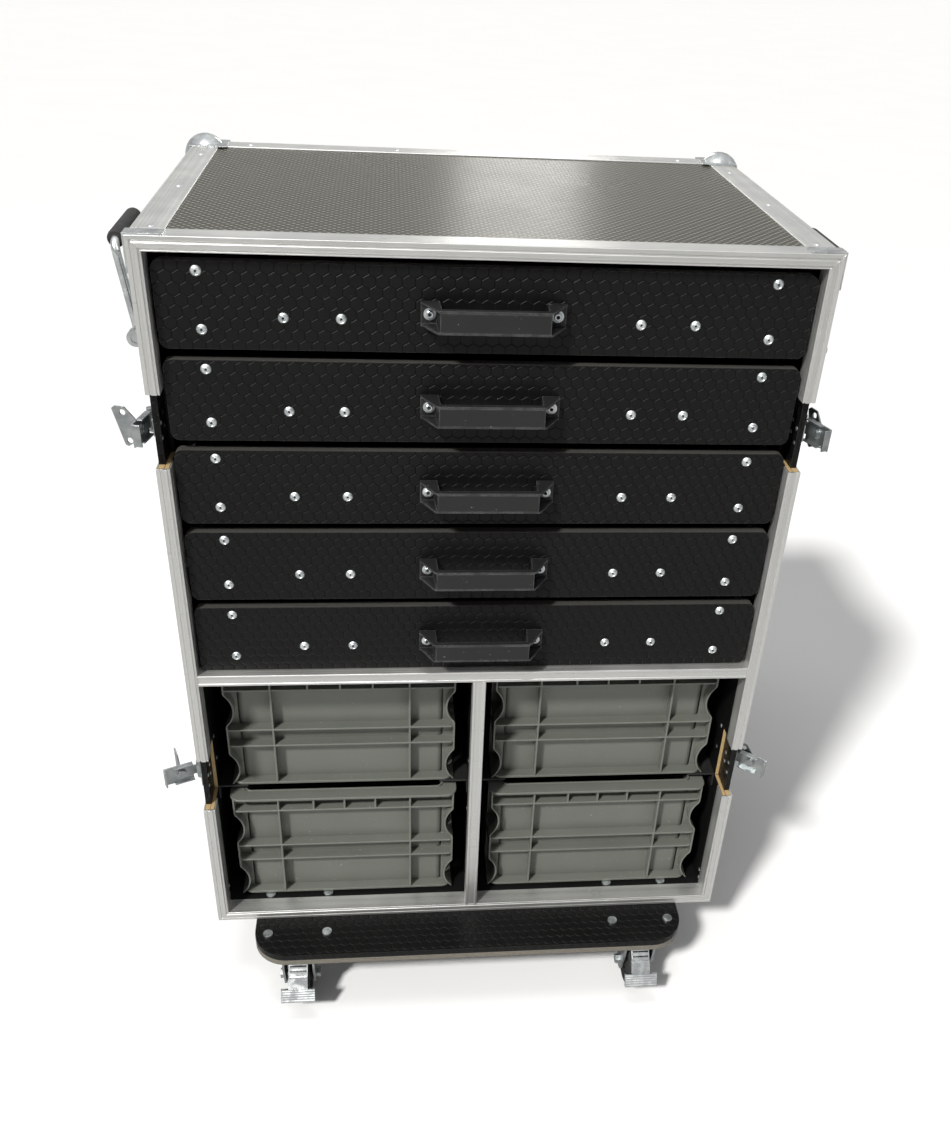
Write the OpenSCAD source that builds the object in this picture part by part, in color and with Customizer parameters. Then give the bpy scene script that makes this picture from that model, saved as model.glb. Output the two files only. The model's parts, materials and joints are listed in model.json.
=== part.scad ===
// Drawer and container cabinet in flight-case construction, on a castor board.
// Origin: middle of the footprint, on the floor. +X right, +Y to the rear, +Z up. The open side faces -Y.

/* [Case] */
// Width of the case over the aluminium
case_w = 700; // [640:5:760]
// Depth of the case over the aluminium
case_d = 472; // [460:2:520]
// Height of the case over the aluminium
case_h = 925; // [920:1:940]
// Thickness of the aluminium sections
skin_t = 1.5; // [1:0.25:2]
// Thickness of the outer plywood board
board_t = 7; // [6:0.5:8]
// Thickness of the inner plywood lining
lining_t = 5; // [4:0.5:6]
// Depth of the rim's outer leg along the wall
rim_leg = 28; // [26:1:32]
// Depth of the rim's inner leg
rim_inner_leg = 25; // [22:1:25]
// Width of the edge angles' legs
edge_w = 34; // [28:1:36]

/* [Latches] */
// Height of the openings in the rim for the latches
notch_h = 82; // [76:1:84]
// Height of the lower latches above the case's bottom edge
lower_latch_z = 246; // [236:1:252]
// Height of the upper latches above the case's bottom edge
upper_latch_z = 727; // [700:1:740]
// How far the left upper latch stands open
left_upper_latch_open = 12.5; // [10:0.5:60]
// How far the right upper latch stands open
right_upper_latch_open = 21; // [10:0.5:60]
// How far the left lower latch stands open
left_lower_latch_open = 66; // [40:0.5:80]
// How far the right lower latch stands open
right_lower_latch_open = 51; // [40:0.5:80]
// Length of a latch arm from its hinge
latch_reach = 46; // [42:1:48]

/* [Drawers] */
// Number of drawers
drawer_count = 5; // [5:1:5]
// Height of a drawer front
front_h = 87; // [84:1:88]
// Distance from one drawer to the next
drawer_pitch = 98.3; // [97:0.1:98.5]
// Top of the first drawer front above the case's bottom edge
first_front_top = 900; // [898:1:902]
// Thickness of a drawer front
front_t = 12; // [10:1:14]
// How far the fronts stand back from the rim
front_setback = 12; // [10:1:14]
// Depth of a drawer tray
tray_d = 415; // [380:5:415]
// Height of a drawer tray
tray_h = 70; // [60:1:74]
// Distance between the bolts of a pull handle
pull_bolt_gap = 129; // [120:1:132]

/* [Containers] */
// Width of a container over its rim
container_w = 300; // [296:1:300]
// Length of a container over its rim
container_l = 400; // [380:1:400]
// Height of a container
container_h = 178; // [170:1:178]
// Distance of the container middles from the case's middle
container_x = 172; // [171:1:173]
// Height of the upper containers' base above the case's bottom edge
upper_container_z = 206; // [205:0.5:208]

/* [Castors] */
// Height from the floor to the top of the castor plate
castor_h = 100; // [98:1:104]
// Radius of a wheel
wheel_r = 37.5; // [36:0.5:38]
// How far the wheel trails behind the swivel
castor_trail = 30; // [28:1:31]
// Distance of the castor middles from the case's middle, sideways
castor_x = 240; // [230:1:242]
// Thickness of the castor board
castor_board_t = 18; // [15:1:21]
// Width of the castor board
castor_board_w = 596; // [560:1:600]
// How far the castor board reaches past the case, front and rear
board_reach = 66; // [40:1:70]
// Distance between the castor bolts, sideways
castor_bolt_x = 80; // [78:1:84]
// Distance between the castor bolts, front to rear
castor_bolt_y = 60; // [56:1:62]

/* [Side handles] */
// Distance of the handle's middle behind the case's front
handle_y = 130; // [120:1:236]
// Height of the handle's pivot above the case's bottom edge
handle_pivot_z = 808; // [790:1:810]
// Height of the grip above the pivot
handle_rise = 92; // [86:1:96]

/* [Hidden] */

$fn = 48;
nick = 0.2;                               // gap kept between neighbouring solids
base_z = castor_h + castor_board_t;       // bottom edge of the case
top_z = base_z + case_h;
front_y = -case_d / 2;
rear_y = case_d / 2;
half_w = case_w / 2;
wall_t = board_t + lining_t;
rim_face = wall_t + 2 * skin_t;
inside_x = half_w - skin_t - wall_t;      // inner face of the linings
outer_x = half_w - skin_t;                // outer face of the side panels
inside_rear = rear_y - skin_t - wall_t;   // front face of the back panel
floor_z = base_z + skin_t + wall_t;       // top face of the bottom panel
ceiling_z = top_z - skin_t - wall_t;
rim_face_t = 3;                           // thickness of the rim's front face
shelf_z = base_z + 405;                   // underside of the shelf board
shelf_trim_h = 15;
shelf_trim_z = shelf_z - (shelf_trim_h - wall_t) / 2;   // lower edge of the shelf's trim
front_half_w = 331.5;
latch_hinge_x = half_w + 4.5;
latch_hinge_y = front_y + 38;
castor_y = case_d / 2 - 3;
tray_y = front_y + front_setback + front_t;
axle_r = 4;
running_gap = 0.06;                       // radial clearance of a bore on its pin

function drawer_z(i) = base_z + first_front_top - front_h - i * drawer_pitch;

// Block from low and high limits along each axis
module block(x, y, z) {
    translate([x[0], y[0], z[0]]) cube([x[1] - x[0], y[1] - y[0], z[1] - z[0]]);
}

// Flat outline with round corners, centred
module rounded_outline(w, h, r) {
    square([w - 2 * r, h], center = true);
    square([w, h - 2 * r], center = true);
    for (sx = [-1, 1], sz = [-1, 1])
        translate([sx * (w / 2 - r), sz * (h / 2 - r)]) circle(r);
}

// Outline drawn in X and Z, pushed back from y by depth
module standing(y, depth) {
    translate([0, y + depth, 0]) rotate([90, 0, 0]) linear_extrude(depth) children();
}

// Rod along X, Y or Z between two places
module rod_x(x, y, z, r) { translate([x[0], y, z]) rotate([0, 90, 0]) cylinder(h = x[1] - x[0], r = r); }
module rod_y(x, y, z, r) { translate([x, y[1], z]) rotate([90, 0, 0]) cylinder(h = y[1] - y[0], r = r); }
module rod_z(x, y, z, r) { translate([x, y, z[0]]) cylinder(h = z[1] - z[0], r = r); }

module both_sides() {
    children();
    mirror([1, 0, 0]) children();
}

module at_castors() {
    for (sx = [-1, 1], sy = [-1, 1]) translate([sx * castor_x, sy * castor_y, 0]) children();
}

module bolt_shanks(r, z) {
    at_castors()
        for (sx = [-1, 1], sy = [-1, 1])
            rod_z(sx * castor_bolt_x / 2, sy * castor_bolt_y / 2, z, r);
}

// ---- Boards ----
latch_heights = [base_z + lower_latch_z, base_z + upper_latch_z];
side_notch = 14;                          // how far the outer board is cut back at a latch
lining_notch = 46;                        // how far the lining is cut back at a latch

module side_board() {
    difference() {
        block([half_w - skin_t - board_t, outer_x], [front_y + rim_face_t + nick, rear_y - skin_t],
              [base_z + skin_t, top_z - skin_t]);
        for (z = latch_heights)
            block([inside_x, half_w], [front_y, front_y + side_notch],
                  [z - notch_h / 2, z + notch_h / 2]);
    }
}

module left_side_panel() { color([0.07, 0.07, 0.07]) mirror([1, 0, 0]) side_board(); }
module right_side_panel() { color([0.07, 0.07, 0.07]) side_board(); }

module side_linings() {
    color([0.06, 0.06, 0.06]) both_sides() difference() {
        block([inside_x, inside_x + lining_t], [front_y + rim_face_t + nick, inside_rear],
              [floor_z, ceiling_z]);
        for (z = latch_heights)
            block([inside_x - 1, inside_x + lining_t + 1], [front_y, front_y + lining_notch],
                  [z - notch_h / 2, z + notch_h / 2]);
    }
}

module top_panel() {
    color([0.16, 0.15, 0.13])
        block([-inside_x - lining_t, inside_x + lining_t],
              [front_y + rim_face_t + nick, rear_y - skin_t], [ceiling_z, top_z - skin_t]);
}

module bottom_panel() {
    color([0.06, 0.06, 0.06]) difference() {
        block([-inside_x - lining_t, inside_x + lining_t],
              [front_y + rim_face_t + nick, rear_y - skin_t], [base_z + skin_t, floor_z]);
        bolt_shanks(bolt_hole_r, [base_z, floor_z + 1]);
    }
}

module back_panel() {
    color([0.07, 0.07, 0.07])
        block([-inside_x - lining_t, inside_x + lining_t], [inside_rear, rear_y - skin_t],
              [floor_z, ceiling_z]);
}

trim_face_t = 2;
module shelf_board() {
    color([0.06, 0.06, 0.06]) {
        block([-inside_x, inside_x], [front_y + rim_inner_leg + nick, inside_rear],
              [shelf_z, shelf_z + wall_t]);
        block([-inside_x + skin_t + nick, inside_x - skin_t - nick],
              [front_y + trim_face_t + nick, front_y + rim_inner_leg + 1],
              [shelf_z, shelf_z + wall_t]);
    }
}

module centre_board() {
    color([0.06, 0.06, 0.06]) {
        block([-wall_t / 2, wall_t / 2], [front_y + rim_inner_leg + nick, inside_rear],
              [floor_z, shelf_z]);
        block([-wall_t / 2, wall_t / 2], [front_y + trim_face_t + nick, front_y + rim_inner_leg + 1],
              [floor_z + skin_t + nick, shelf_trim_z - nick]);
    }
}

// ---- Aluminium ----
// Everything the rim's channel holds: the ring of board edges, and the open front inside it
module rim_hollow() {
    difference() {
        block([-outer_x, outer_x], [front_y + rim_face_t, front_y + rim_leg + 1],
              [base_z + skin_t, top_z - skin_t]);
        block([-inside_x, inside_x], [front_y, front_y + rim_leg + 2], [floor_z, ceiling_z]);
    }
    block([-inside_x - 1, inside_x + 1], [front_y + rim_inner_leg, front_y + rim_leg + 1],
          [floor_z - 1, ceiling_z + 1]);
}

module rim_stile_piece(z) {
    difference() {
        standing(front_y, rim_leg) intersection() {
            polygon([[half_w, base_z], [half_w, top_z], [half_w - rim_face, top_z - rim_face],
                     [half_w - rim_face, base_z + rim_face]]);
            translate([half_w - rim_face, z[0]]) square([rim_face, z[1] - z[0]]);
        }
        rim_hollow();
    }
}

module rim_rail(z, inward) {
    difference() {
        standing(front_y, rim_leg)
            polygon([[-half_w + nick, z], [half_w - nick, z],
                     [half_w - rim_face - nick, z + inward * rim_face],
                     [-half_w + rim_face + nick, z + inward * rim_face]]);
        rim_hollow();
    }
}

module front_rim() {
    low = latch_heights[0];
    high = latch_heights[1];
    color([0.72, 0.72, 0.7]) {
        rim_rail(top_z, -1);
        rim_rail(base_z, 1);
        both_sides() {
            rim_stile_piece([base_z, low - notch_h / 2]);
            rim_stile_piece([low + notch_h / 2, high - notch_h / 2]);
            rim_stile_piece([high + notch_h / 2, top_z]);
        }
    }
}

trim_leg = 20;
centre_trim_w = wall_t + 4;
trim_rib = 1;                             // height of the raised ribs along the trim's edges
trim_rib_w = 3;
module divider_trim() {
    shelf_half = inside_x - skin_t - nick;
    color([0.72, 0.72, 0.7]) {
        difference() {
            union() {
                block([-shelf_half, shelf_half], [front_y + trim_rib, front_y + trim_leg],
                      [shelf_trim_z, shelf_trim_z + shelf_trim_h]);
                for (z = [shelf_trim_z, shelf_trim_z + shelf_trim_h - trim_rib_w])
                    block([-shelf_half, shelf_half], [front_y, front_y + trim_rib + 0.5],
                          [z, z + trim_rib_w]);
            }
            block([-half_w, half_w], [front_y + trim_face_t, front_y + trim_leg + 1],
                  [shelf_z, shelf_z + wall_t]);
        }
        difference() {
            union() {
                block([-centre_trim_w / 2, centre_trim_w / 2],
                      [front_y + trim_rib, front_y + trim_leg],
                      [base_z + rim_face + nick, shelf_trim_z - nick]);
                for (x = [-centre_trim_w / 2, centre_trim_w / 2 - trim_rib_w])
                    block([x, x + trim_rib_w], [front_y, front_y + trim_rib + 0.5],
                          [base_z + rim_face + nick, shelf_trim_z - nick]);
            }
            block([-wall_t / 2, wall_t / 2], [front_y + trim_face_t, front_y + trim_leg + 1],
                  [base_z, shelf_z]);
        }
    }
}

// Angle section lying along Y over the case's lengthways edges, from the rim to the rear
module long_edge(top) {
    z0 = top ? top_z - edge_w : base_z;
    face = top ? top_z - skin_t : base_z;
    y = [front_y + rim_leg + nick, rear_y - edge_w - nick];
    block([half_w - skin_t, half_w], y, [z0, z0 + edge_w]);
    block([half_w - edge_w, half_w - skin_t / 2], y, [face, face + skin_t]);
}

// Angle section across the rear, at the top or at the bottom
module rear_edge(top) {
    z0 = top ? top_z - edge_w : base_z;
    face = top ? top_z - skin_t : base_z;
    x = [-half_w + edge_w + nick, half_w - edge_w - nick];
    block(x, [rear_y - skin_t, rear_y], [z0, z0 + edge_w]);
    block(x, [rear_y - edge_w, rear_y - skin_t / 2], [face, face + skin_t]);
}

// Angle section standing at a rear corner
module rear_stile() {
    z = [base_z + edge_w + nick, top_z - edge_w - nick];
    block([half_w - skin_t, half_w], [rear_y - edge_w, rear_y], z);
    block([half_w - edge_w, half_w], [rear_y - skin_t, rear_y], z);
}

module edge_angles() {
    color([0.75, 0.75, 0.72]) difference() {
        union() {
            both_sides() {
                long_edge(true);
                long_edge(false);
                rear_stile();
            }
            rear_edge(true);
            rear_edge(false);
        }
        bolt_shanks(bolt_hole_r, [base_z - 1, floor_z + 1]);
    }
}

// ---- Corners ----
ball_r = 26.5;
ball_inset = 15;                          // centre of the ball from the case's outer faces
corner_leg = 44;
corner_t = 1.5;
brace_len = 36;
brace_w = 20;

// Ball corner for the rear: a rounded cap over the point of the case, and three riveted legs
module ball_corner(top) {
    translate([half_w, rear_y, top ? top_z : base_z]) mirror([0, 0, top ? 0 : 1]) {
        difference() {
            translate([-ball_inset, -ball_inset, -ball_inset]) sphere(ball_r);
            translate([-corner_leg, -corner_leg, -corner_leg]) cube(corner_leg);
        }
        block([0, corner_t], [-corner_leg, corner_t], [-corner_leg, corner_t]);
        block([-corner_leg, corner_t / 2], [0, corner_t], [-corner_leg, corner_t]);
        block([-corner_leg, corner_t / 2], [-corner_leg, corner_t / 2], [0, corner_t]);
    }
}

module corner_brace() {
    y = [front_y + 2, front_y + 2 + brace_w];
    block([half_w - brace_len, half_w + corner_t], y, [top_z, top_z + corner_t]);
    block([half_w, half_w + corner_t], y, [top_z - brace_len, top_z + corner_t / 2]);
}

module corner_hardware() {
    color([0.78, 0.8, 0.8]) both_sides() {
        ball_corner(true);
        ball_corner(false);
        corner_brace();
    }
}

// ---- Latches: drawn closed and pointing to -Y, for the right side ----
knuckle_r = 4.5;
knuckle_half = 7;
latch_pin_r = 2;
arm_half = 13;
arm_t = 2;
spindle_y = -24;                          // place of the wing's spindle along the arm
spindle_r = 4;
ring_r = 6.5;                             // raised ring round the spindle
wing_t = 1.6;

module at_latch(side, height) {
    mirror([side < 0 ? 1 : 0, 0, 0])
        translate([latch_hinge_x, latch_hinge_y, base_z + height]) children();
}

module latch_base() {
    wall_x = outer_x - latch_hinge_x;     // outer face of the side board, seen from the hinge
    block([wall_x, wall_x + 1.2], [-24, knuckle_r], [-9.5, 9.5]);
    for (z = [-1, 1]) {
        low = z > 0 ? knuckle_half + 0.3 : -arm_half;
        high = low + arm_half - knuckle_half - 0.3;
        rod_z(0, 0, [low, high], knuckle_r);
        block([wall_x, 0], [-2, knuckle_r], [low, high]);
    }
    rod_z(0, 0, [-arm_half, arm_half], latch_pin_r);
}

module latch_bases() {
    color([0.7, 0.74, 0.75])
        for (side = [-1, 1], height = [lower_latch_z, upper_latch_z]) at_latch(side, height) latch_base();
}

module latch_arm(side, height, open) {
    color([0.62, 0.67, 0.69]) at_latch(side, height) rotate([0, 0, open]) difference() {
        union() {
            rod_z(0, 0, [-knuckle_half, knuckle_half], knuckle_r);
            block([0, arm_t], [-12, 0], [-knuckle_half, knuckle_half]);
            block([0, arm_t], [-latch_reach, -9], [-arm_half, arm_half]);
            for (z = [-arm_half, arm_half - 1.5])
                block([-5, arm_t], [-latch_reach + 12, -9], [z, z + 1.5]);
            block([-7, arm_t], [-latch_reach, -latch_reach + 2], [-arm_half + 1, arm_half - 1]);
            rod_x([-1.5, arm_t + 1], spindle_y, 0, ring_r);
        }
        rod_z(0, 0, [-20, 20], latch_pin_r + running_gap);
        rod_x([-10, 10], spindle_y, 0, spindle_r + running_gap);
    }
}

// Plate of a thumb wing, from its spindle outwards, with its two finger holes
module wing_plate(tilt) {
    linear_extrude(wing_t) translate([12, 0]) rotate(tilt) translate([-12, 0]) difference() {
        polygon([[6.5, 9], [17, 21.5], [27.5, 22], [31, 19],
                 [21, -20.5], [18, -22], [13.5, -19.5], [6.5, -9]]);
        for (hole = [[19.5, 15.5], [15.5, -15.5]]) translate(hole) circle(3.2);
    }
}

// Thumb wing on its spindle: folded flat towards the hinge, or standing off the arm with a tilt
module latch_wing(side, height, open, folded, tilt) {
    color([0.72, 0.76, 0.77]) at_latch(side, height) rotate([0, 0, open])
        translate([0, spindle_y, 0]) {
            rod_x([-3.3, folded ? 7 : 9], 0, 0, spindle_r);
            rod_x([-3.3, -1.8], 0, 0, 5.5);
            rod_x([arm_t + 1.3, folded ? 7 : 9], 0, 0, 5.5);
            if (folded) translate([5.4, -6.5, 0]) rotate([90, 0, 90]) wing_plate(0);
            else translate([0, wing_t / 2, 0]) rotate([90, 0, 0]) wing_plate(tilt);
        }
}

// ---- Side handles ----
handle_mid_y = front_y + handle_y;
pivot_z = base_z + handle_pivot_z;
pivot_x = outer_x + 15;
grip_x = outer_x + 27;
grip_z = pivot_z + handle_rise;
grip_r = 9;
bail_r = 4.5;
elbow_r = 5.2;
bail_half = 58;
plate_half = 80;

module handle_plates() {
    color([0.75, 0.77, 0.78]) both_sides() {
        block([outer_x, outer_x + 1.6], [handle_mid_y - plate_half, handle_mid_y + plate_half],
              [pivot_z - 20, top_z - edge_w - 1]);
        for (s = [-1, 1]) difference() {
            y = handle_mid_y + s * (bail_half + 6.4 + 6);
            union() {
                block([outer_x, pivot_x], [y - 6, y + 6], [pivot_z - 9, pivot_z + 9]);
                rod_y(pivot_x, [y - 6, y + 6], pivot_z, 9);
            }
            rod_y(pivot_x, [y - 7, y + 7], pivot_z, bail_r + running_gap);
        }
    }
}

module side_bail() {
    for (s = [-1, 1]) {
        y = handle_mid_y + s * bail_half;
        rod_y(pivot_x, s > 0 ? [y, y + 18] : [y - 18, y], pivot_z, bail_r);
        translate([pivot_x, y, pivot_z]) sphere(elbow_r);
        translate([pivot_x, y, pivot_z])
            rotate([0, atan2(grip_x - pivot_x, handle_rise), 0])
                cylinder(h = norm([grip_x - pivot_x, handle_rise]), r = bail_r);
        translate([grip_x, y, grip_z]) sphere(elbow_r);
    }
    rod_y(grip_x, [handle_mid_y - bail_half, handle_mid_y + bail_half], grip_z, bail_r);
    rod_y(grip_x, [handle_mid_y - 48, handle_mid_y + 48], grip_z, grip_r);
}

module left_side_handle() { color([0.1, 0.1, 0.1]) mirror([1, 0, 0]) side_bail(); }
module right_side_handle() { color([0.1, 0.1, 0.1]) side_bail(); }

// ---- Drawers ----
runner_half_h = 22;
runner_gap = 0.3;
rail_t = 6;
tray_half_w = 323.5;
tray_wall = 9;
tray_floor = 6;
tray_lift = 8;                            // tray's underside above the front's lower edge
runner_y = front_y + lining_notch + 4;
pull_half = 73.5;
pull_out = 33;
pull_h = 24;
pull_hole_r = 2.6;

module drawer_front(i) {
    color([0.09, 0.09, 0.09]) difference() {
        translate([0, 0, drawer_z(i) + front_h / 2])
            standing(front_y + front_setback, front_t) rounded_outline(2 * front_half_w, front_h, 9);
        for (s = [-1, 1])
            rod_y(s * pull_bolt_gap / 2, [front_y, front_y + 60], drawer_z(i) + front_h / 2 - 2, pull_hole_r);
    }
}

module drawer_tray(i) {
    z = drawer_z(i) + tray_lift;
    color([0.25, 0.25, 0.25]) {
        difference() {
            block([-tray_half_w, tray_half_w], [tray_y, tray_y + tray_d], [z, z + tray_h]);
            block([-tray_half_w + tray_wall, tray_half_w - tray_wall],
                  [tray_y + tray_wall, tray_y + tray_d - tray_wall],
                  [z + tray_floor, z + tray_h + 1]);
            for (s = [-1, 1])
                rod_y(s * pull_bolt_gap / 2, [tray_y - 1, tray_y + 12],
                      drawer_z(i) + front_h / 2 - 2, pull_hole_r);
        }
        both_sides()
            block([tray_half_w, tray_half_w + rail_t], [runner_y, tray_y + tray_d],
                  [z + 18, z + 48]);
    }
}

// Bridge pull: two feet bolted to the front and a flat bar between them
module drawer_pull(i) {
    z = drawer_z(i) + front_h / 2 - 2;
    color([0.16, 0.16, 0.17]) translate([0, front_y + front_setback, z]) difference() {
        translate([0, 0, -pull_h / 2]) linear_extrude(pull_h)
            polygon([[-pull_half, 0], [-pull_half, -7], [-58, -11], [-52, -pull_out], [52, -pull_out],
                     [58, -11], [pull_half, -7], [pull_half, 0], [51, 0], [45, -26], [-45, -26],
                     [-51, 0]]);
        for (s = [-1, 1])
            rod_y(s * pull_bolt_gap / 2, [-20, 1], 0, pull_hole_r);
    }
}

module drawer_runners() {
    color([0.6, 0.62, 0.63])
        for (i = [0 : drawer_count - 1])
            both_sides()
                block([tray_half_w + rail_t + runner_gap, inside_x], [runner_y, runner_y + 400],
                      [drawer_z(i) + tray_lift + 33 - runner_half_h,
                       drawer_z(i) + tray_lift + 33 + runner_half_h]);
}

// ---- Containers ----
lower_container_z = floor_z + 4.2 - base_z;
lower_container_y = front_y + 29.5;
upper_container_y = front_y + 45;
tub_inset = 18;                           // depth of the ribbed zone round the tub
tub_wall = 2.5;
rib_t = 2.5;
rib_inset = 3.5;                          // how far the ribs stay inside the rim
foot_inset = 4;
plate_edge_t = 3.5;                       // thickness of the top flange and of the base flange
bite_r = 34;                              // round grips bitten out of the corners
bite_depth = 10.5;
bite_z = [27, 123];
lip_t = 2.2;                              // lip that follows the bitten edge out to the rim

// Flat ring or tub outline, from its inset and corner radius
module container_ring(inset, z, h, r) {
    translate([0, container_l / 2, z]) linear_extrude(h)
        rounded_outline(container_w - 2 * inset, container_l - 2 * inset, r);
}

// Upright rib plates at both ends of the container
module end_ribs(x, z) {
    for (x0 = x)
        for (y = [[rib_inset, tub_inset + 1], [container_l - tub_inset - 1, container_l - rib_inset]])
            block([x0 - rib_t / 2, x0 + rib_t / 2], y, z);
}

// Upright rib plates along both sides of the container
module side_ribs(y, z) {
    outer = container_w / 2 - rib_inset;
    inner = container_w / 2 - tub_inset - 1;
    for (y0 = y, x = [[-outer, -inner], [inner, outer]])
        block(x, [y0 - rib_t / 2, y0 + rib_t / 2], z);
}

// Piece of a corner's bitten outline, narrowed by a margin along its edge
module bitten_corner(margin, y, z) {
    outer = container_w / 2 - rib_inset;
    difference() {
        block([container_w / 2 - tub_inset - 2, outer - margin], y, z);
        for (bite = bite_z) rod_y(outer + bite_r - bite_depth, [y[0] - 1, y[1] + 1], bite, bite_r + margin);
    }
}

// End walls run out to round grips at the corners, and a lip follows their edge out to the rim
module corner_grips() {
    z = [1, container_h - 1];
    for (sx = [0, 1], sy = [0, 1])
        translate([0, sy * container_l, 0]) mirror([0, sy, 0]) mirror([sx, 0, 0]) {
            bitten_corner(0, [tub_inset, tub_inset + rib_t], z);
            difference() {
                bitten_corner(0, [rib_inset, tub_inset + 1], z);
                bitten_corner(lip_t, [rib_inset - 1, tub_inset + 2], [0, container_h]);
            }
        }
}

module container(y, z) {
    tub_top = container_h - 1;
    ledge_z = [64, 90, 153];
    translate([0, y, z]) difference() {
        union() {
            container_ring(tub_inset, 0, container_h, 9);
            container_ring(foot_inset, 0, plate_edge_t, 14);
            container_ring(0, container_h - plate_edge_t, plate_edge_t, 14);
            for (rib_z = ledge_z) container_ring(rib_inset, rib_z, rib_t, 6);
            end_ribs([-87.5, 87.5], [1, tub_top]);
            end_ribs([-41, 0, 41], [ledge_z[2], tub_top]);
            side_ribs([for (i = [-2, 2]) container_l / 2 + i * 72], [1, tub_top]);
            side_ribs([for (i = [-1 : 1]) container_l / 2 + i * 72], [ledge_z[2], tub_top]);
            corner_grips();
        }
        container_ring(tub_inset + tub_wall, 3, container_h, 6.5);
    }
}

module container_at(side, upper) {
    color([0.42, 0.43, 0.42]) translate([side * container_x, 0, 0])
        container(upper ? upper_container_y : lower_container_y,
                  base_z + (upper ? upper_container_z : lower_container_z));
}

module container_runners() {
    z = base_z + upper_container_z - nick;
    shelf_in = 38.5;
    angle_t = 2.6;
    y = [front_y + lining_notch + 2, inside_rear];
    color([0.08, 0.08, 0.08]) both_sides() {
        block([inside_x - shelf_in, inside_x], y, [z - angle_t, z]);
        block([inside_x - 2, inside_x], y, [z - 22, z - angle_t / 2]);
        block([wall_t / 2, wall_t / 2 + shelf_in], y, [z - angle_t, z]);
        block([wall_t / 2, wall_t / 2 + 2], y, [z - 22, z - angle_t / 2]);
        for (x = [container_x - 110, container_x + 110])
            block([x - 10, x + 10], [front_y + 43, front_y + 423], [floor_z, floor_z + 4]);
    }
}

// ---- Castors ----
bolt_r = 4;
bolt_hole_r = 4.3;
board_corner_r = 46;
castor_plate_t = 4;
race_bottom = castor_h - 12;
crown_top = race_bottom - 0.3;
crown_bottom = castor_h - 20;
king_r = 6;
leg_x = 19;
leg_t = 3;
axle_z = wheel_r;
pedal_pivot_y = -46;
pedal_pivot_z = castor_h - 20;

module castor_board() {
    color([0.1, 0.1, 0.1]) difference() {
        translate([0, 0, castor_h]) linear_extrude(castor_board_t)
            rounded_outline(castor_board_w, case_d + 2 * board_reach, board_corner_r);
        bolt_shanks(bolt_hole_r, [castor_h - 1, base_z + 1]);
    }
}

// Each castor has two bolts through the board's open ledge and two through the case's floor
module board_bolts() {
    color([0.75, 0.77, 0.78])
        for (sx = [-1, 1], side = [-1, 1], sy = [-1, 1], out = [-1, 1]) {
            x = sx * castor_x + side * castor_bolt_x / 2;
            y = sy * (castor_y + out * castor_bolt_y / 2);
            head_z = out > 0 ? base_z : floor_z;
            rod_z(x, y, [castor_h - castor_plate_t - 6, head_z + 0.5], bolt_r);
            rod_z(x, y, [head_z, head_z + 2.8], 6.5);
            translate([x, y, castor_h - castor_plate_t - 6]) cylinder(h = 6, r = 7, $fn = 6);
        }
}

module castor_plates() {
    color([0.7, 0.74, 0.75]) difference() {
        at_castors() {
            translate([0, 0, castor_h - castor_plate_t])
                linear_extrude(castor_plate_t) rounded_outline(96, 78, 12);
            rod_z(0, 0, [race_bottom, castor_h - castor_plate_t + 0.5], 26);
            rod_z(0, 0, [crown_bottom - 4, race_bottom + 0.5], king_r);
            translate([0, 0, crown_bottom - 4.3]) cylinder(h = 4, r = 8.5, $fn = 6);
        }
        bolt_shanks(bolt_hole_r, [castor_h - 30, castor_h + 1]);
    }
}

// The parts of a castor are drawn with the wheel towards -Y, and turned round for the rear pair
module at_castor(sx, sy) {
    translate([sx * castor_x, sy * castor_y, 0]) rotate([0, 0, sy > 0 ? 180 : 0]) children();
}

module castor_fork(sx, sy) {
    color([0.66, 0.7, 0.72]) at_castor(sx, sy) {
        difference() {
            union() {
                rod_z(0, 0, [crown_bottom, crown_top], 25);
                block([-leg_x - leg_t, leg_x + leg_t], [-36, 0], [crown_bottom, crown_bottom + 4]);
            }
            rod_z(0, 0, [crown_bottom - 1, crown_top + 1], king_r + running_gap);
        }
        for (s = [-1, 1]) difference() {
            translate([s > 0 ? leg_x : -leg_x - leg_t, 0, 0]) rotate([90, 0, 90])
                linear_extrude(leg_t) {
                    polygon([[-54, crown_bottom + 4], [0, crown_bottom + 4], [4, crown_bottom - 6],
                             [-16, axle_z], [-44, axle_z], [-54, crown_bottom - 8]]);
                    translate([-castor_trail, axle_z]) circle(14);
                }
            rod_x([-30, 30], pedal_pivot_y, pedal_pivot_z, 3 + running_gap);
        }
        rod_x([-leg_x - leg_t - 1, leg_x + leg_t + 1], -castor_trail, axle_z, axle_r);
        for (x = [-leg_x - leg_t - 6, leg_x + leg_t])
            translate([x, -castor_trail, axle_z]) rotate([0, 90, 0]) cylinder(h = 6, r = 7, $fn = 6);
    }
}

module castor_wheel(sx, sy) {
    color([0.08, 0.08, 0.08]) at_castor(sx, sy)
        translate([0, -castor_trail, axle_z]) rotate([0, 90, 0]) difference() {
            rotate_extrude()
                polygon([[axle_r + running_gap, -17.5], [12, -17.5], [14, -13], [28, -13],
                         [30, -15], [wheel_r - 3, -15], [wheel_r, -11], [wheel_r, 11],
                         [wheel_r - 3, 15], [30, 15], [28, 13], [14, 13], [12, 17.5],
                         [axle_r + running_gap, 17.5]]);
        }
}

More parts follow.
